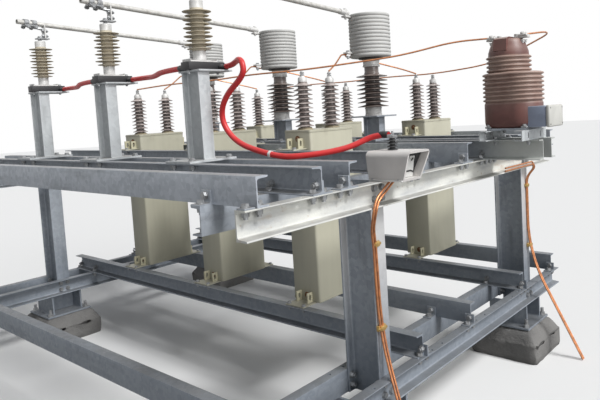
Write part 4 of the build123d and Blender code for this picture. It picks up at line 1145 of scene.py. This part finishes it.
# Bolts of the rails under the transformer, and the clips that hold its foot
railLow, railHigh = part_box("ct_rails")
plateLow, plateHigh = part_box("ct_plate")
for web, side in ((railLow.x, 1), (railHigh.x, -1)):
    for beamWeb, beamSide in beamWebs["upper_beam_reactors"]:
        spot = (web + side * 0.024, beamWeb + beamSide * boltLine, railLow.z + 0.005)
        addBolt(frameBolts, spot, upward, 0.005 + channelSteel, 12)
    for y in (plateLow.y + 0.030, plateHigh.y - 0.030):
        addBolt(frameBolts, (web + side * 0.022, y, plateHigh.z), upward, 0.015, 12)
clipValues = {"spread": (0.094, 0.096), "half": (0.016, 0.009), "thick": 0.010}
bm = bmesh.new()
for sideX, sideY in quarters:
    x, y = ctX + sideX * clipValues["spread"][0], ctY + sideY * clipValues["spread"][1]
    clipTop = ctBase + clipValues["thick"]
    addPlate(bm, x, y, *clipValues["half"], ctBase, clipTop, 0.002)
    addHex(bm, (x, y, clipTop), upward, 0.019, 0.009)
finishPiece(bm, "transformerFootClips", "boltZinc")
print("transformer built")

# Surge counter: panel, dial, scale, window and flange inside the shell, then its insulator and lead clamp
counterValues = {"foot": 0.132, "top": 0.177, "rise": 0.010, "window": 0.084, "rim": (0.0120, 0.0090)}
counterLow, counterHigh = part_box("surge_counter")
middleY = (counterLow.y + counterHigh.y) / 2
panelFoot = Vector((counterLow.x + counterValues["foot"], middleY, counterLow.z + counterValues["rise"]))
panelTop = Vector((counterLow.x + counterValues["top"], middleY, counterHigh.z - counterValues["rise"]))
slope = (panelTop - panelFoot).normalized()
top = (panelTop - panelFoot).length
outward = Vector((slope.z, 0, -slope.x))
panel = [(-0.052, 0), (0.052, 0), (0.066, top), (-0.066, top)]
cone = [(0.050, 0.002), (0.048, 0.010), (0.020, 0.074), (0.015, 0.096)]
arc = [
    (-0.044, 0.020), (-0.022, 0.027), (0.022, 0.027), (0.044, 0.020),
    (0.041, 0.027), (0.020, 0.034), (-0.020, 0.034), (-0.041, 0.027),
]
for outline, lift, thick, name, coat in (
    (panel, -0.008, 0.006, "counterPanel", "black_polymer"),
    ([(-0.050, 0.002), *cone, *((-along, height) for along, height in cone[:0:-1])],
     -0.0015, 0.005, "counterDial", "dialWhite"),
    (arc, 0.0036, 0.0012, "counterScale", "black_polymer"),
):
    bm = bmesh.new()
    points = [panelFoot + Vector((0, along, 0)) + slope * height + outward * lift for along, height in outline]
    addSection(bm, points, [0] * len(points), outward * thick)
    finishPiece(bm, name, coat)
spot = panelFoot + slope * counterValues["window"] + outward * 0.0030
bm = bmesh.new()
addTube(bm, spot, spot + outward * 0.004, *counterValues["rim"], 28)
finishPiece(bm, "counterRim", "dialWhite")
bm = bmesh.new()
addRod(bm, spot, spot + outward * 0.0012, counterValues["rim"][1], 28)
finishPiece(bm, "counterGlass", "black_polymer")
bm = bmesh.new()
addPlate(bm, counterLow.x + 0.085, middleY, 0.081, 0.070, counterLow.z + 0.0002, counterLow.z + 0.007, 0.002, 2)
finishPiece(bm, "counterFlange", "dialWhite")
for x in (counterLow.x + 0.020, counterLow.x + 0.146):
    for sideY in (-1, 1):
        addHex(frameBolts, (x, middleY + sideY * 0.0655, counterLow.z + 0.007), upward, 0.008, 0.004)

pinLow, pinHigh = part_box("counter_insulator")
pinX, pinY = (pinLow.x + pinHigh.x) / 2, (pinLow.y + pinHigh.y) / 2
pinSheds = shedOutline(0.0, 0.011, [0.022] * 4, 0.012)
pinTop = pinSheds[-1][1]
pinOutline = [(0, 0), *pinSheds, (0, pinTop)]
turnedPiece(pinOutline, [(pinX, pinY, pinLow.z)], "counterSheds", "black_polymer", ["counter_insulator"], 28, 40)
bm = bmesh.new()
clampLow = pinLow.z + pinTop
addPlate(bm, pinX, pinY, 0.016, 0.016, clampLow, clampLow + 0.012, 0.002)
addPlate(bm, pinX - 0.006, pinY, 0.010, 0.012, clampLow + 0.012, clampLow + 0.016, 0.001)
addHex(bm, (pinX + 0.002, pinY, clampLow + 0.012), upward, 0.013, 0.009)
addRod(bm, (pinX + 0.002, pinY, clampLow), (pinX + 0.002, pinY, pinHigh.z), 0.0045, 12)
finishPiece(bm, "counterClamp", "boltZinc")
print("counter built")

# Brass clamps on the copper rods, the lower pair packed out
clampValues = {
    "halfY": 0.023, "halfZ": 0.011, "capHalf": 0.016, "plate": 0.004, "cap": 0.010, "screw": 0.0195,
    "packing": 0.010,
}
frontRodY = baseLow.y + 0.688 + 0.008
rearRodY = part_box("earth_rods")[1].y - 0.013
halfY, halfZ, capHalf = (clampValues[key] for key in ("halfY", "halfZ", "capHalf"))
face = outerWebX + 0.0002
bm = bmesh.new()
for y, level, packed in ((frontRodY, 0.985, 0), (frontRodY, 0.640, 1), (rearRodY, 1.020, 0), (rearRodY, 0.655, 1)):
    plateX = face + clampValues["plate"] + packed * clampValues["packing"]
    addBlock(bm, (face, y - halfY, level - halfZ), (plateX, y + halfY, level + halfZ), 0.001)
    capEnd = (plateX + clampValues["cap"], y + capHalf, level + halfZ)
    addBlock(bm, (plateX, y - capHalf, level - halfZ), capEnd, 0.004, 2)
    for wing in (-1, 1):
        addHex(bm, (plateX, y + wing * clampValues["screw"], level), (1, 0, 0), 0.012, 0.007)
finishPiece(bm, "rodClamps", "brass")

# Red leads as smooth curves along the routes of the frame, with black sleeves at their ends
leadValues = {"radius": 0.0125, "sleeve": 0.0142, "sleeveLength": 0.038, "taper": 0.046, "taperRadius": 0.0128}
leadRoutes = {
    "earth_lead_1": [
        (-0.87325, -0.749, 1.751), (-0.69325, -0.749, 1.751), (-0.51325, -0.819, 1.741),
        (-0.33325, -0.889, 1.751), (-0.15325, -0.889, 1.751),
    ],
    "earth_lead_2": [
        (-0.09325, -0.749, 1.751), (0.08675, -0.749, 1.751), (0.26675, -0.819, 1.741),
        (0.44675, -0.889, 1.751), (0.62675, -0.889, 1.751),
    ],
    "earth_lead_3": [
        (0.68675, -0.749, 1.751), (0.75675, -0.749, 1.751), (0.82675, -0.772, 1.765),
        (0.88275, -0.806, 1.768), (0.92775, -0.826, 1.753), (0.93575, -0.827, 1.710),
        (0.89475, -0.824, 1.674), (0.81075, -0.820, 1.627), (0.75375, -0.814, 1.561),
        (0.75475, -0.806, 1.487), (0.82275, -0.794, 1.415), (0.93575, -0.779, 1.377),
        (1.05675, -0.764, 1.3528), (1.13675, -0.739, 1.3528), (1.22275, -0.669, 1.3608),
        (1.29675, -0.594, 1.3788), (1.36175, -0.523, 1.422), (1.43575, -0.523, 1.422),
    ],
}
sleeves = bmesh.new()
for node, route in leadRoutes.items():
    curve = bpy.data.curves.new(node + "Curve", "CURVE")
    curve.dimensions = "3D"
    curve.bevel_depth = leadValues["radius"]
    curve.bevel_resolution = 4
    curve.resolution_u = 8
    curve.use_fill_caps = True
    spline = curve.splines.new("NURBS")
    spline.points.add(len(route) - 1)
    for point, place in zip(spline.points, route):
        point.co = (*place, 1)
    spline.order_u = 3
    spline.use_endpoint_u = True
    curve.materials.append(finishes["lead_red"])
    lead = placed(node + "Lead", curve)
    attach(lead, "root")
    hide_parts(node)
    for start, following in (route[:2], route[:-3:-1]):
        start, reach = Vector(start), (Vector(following) - Vector(start)).normalized()
        sleeveEnd = start + reach * leadValues["sleeveLength"]
        addRod(sleeves, start, sleeveEnd, leadValues["sleeve"], 20)
        taperEnd = start + reach * leadValues["taper"]
        addRod(sleeves, sleeveEnd, taperEnd, leadValues["sleeve"], 20, leadValues["taperRadius"])
finishPiece(sleeves, "leadLugs", "black_polymer")
bm = bmesh.new()
start, following = (Vector(leadRoutes["earth_lead_3"][index]) for index in (11, 12))
reach = (following - start).normalized() * 0.006
middle = start.lerp(following, 0.55)
addTube(bm, middle - reach, middle + reach, 0.0145, 0.0128, 20)
finishPiece(bm, "leadClip", "dialWhite")
finishPiece(frameBolts, "frameBolts", "boltZinc")
print("leads and bolts built")

# Floor: pale to the camera, greyer in the light it throws back
bm = bmesh.new()
bmesh.ops.create_circle(bm, cap_ends=True, segments=96, radius=studio["floorRadius"])
floor = placed("studioFloor", meshFrom(bm, "studioFloor"))
floorMaterial = bpy.data.materials.new("floorPaint")
floorMaterial.use_nodes = True
floorTree = floorMaterial.node_tree
floorSeen = addNode(floorTree, "LightPath", {}, "Is Camera Ray")
floorTint = blended(floorTree, floorSeen, studio["floorBounce"], studio["floor"])
floorCoats = {"Base Color": floorTint, "Roughness": studio["floorRoughness"], "Specular IOR Level": 0.0}
for key, value in floorCoats.items():
    connect(floorTree, value, floorTree.nodes["Principled BSDF"].inputs[key])
floor.data.materials.append(floorMaterial)

bpy.context.scene.view_settings.view_transform = "Standard"

print("all pieces built")
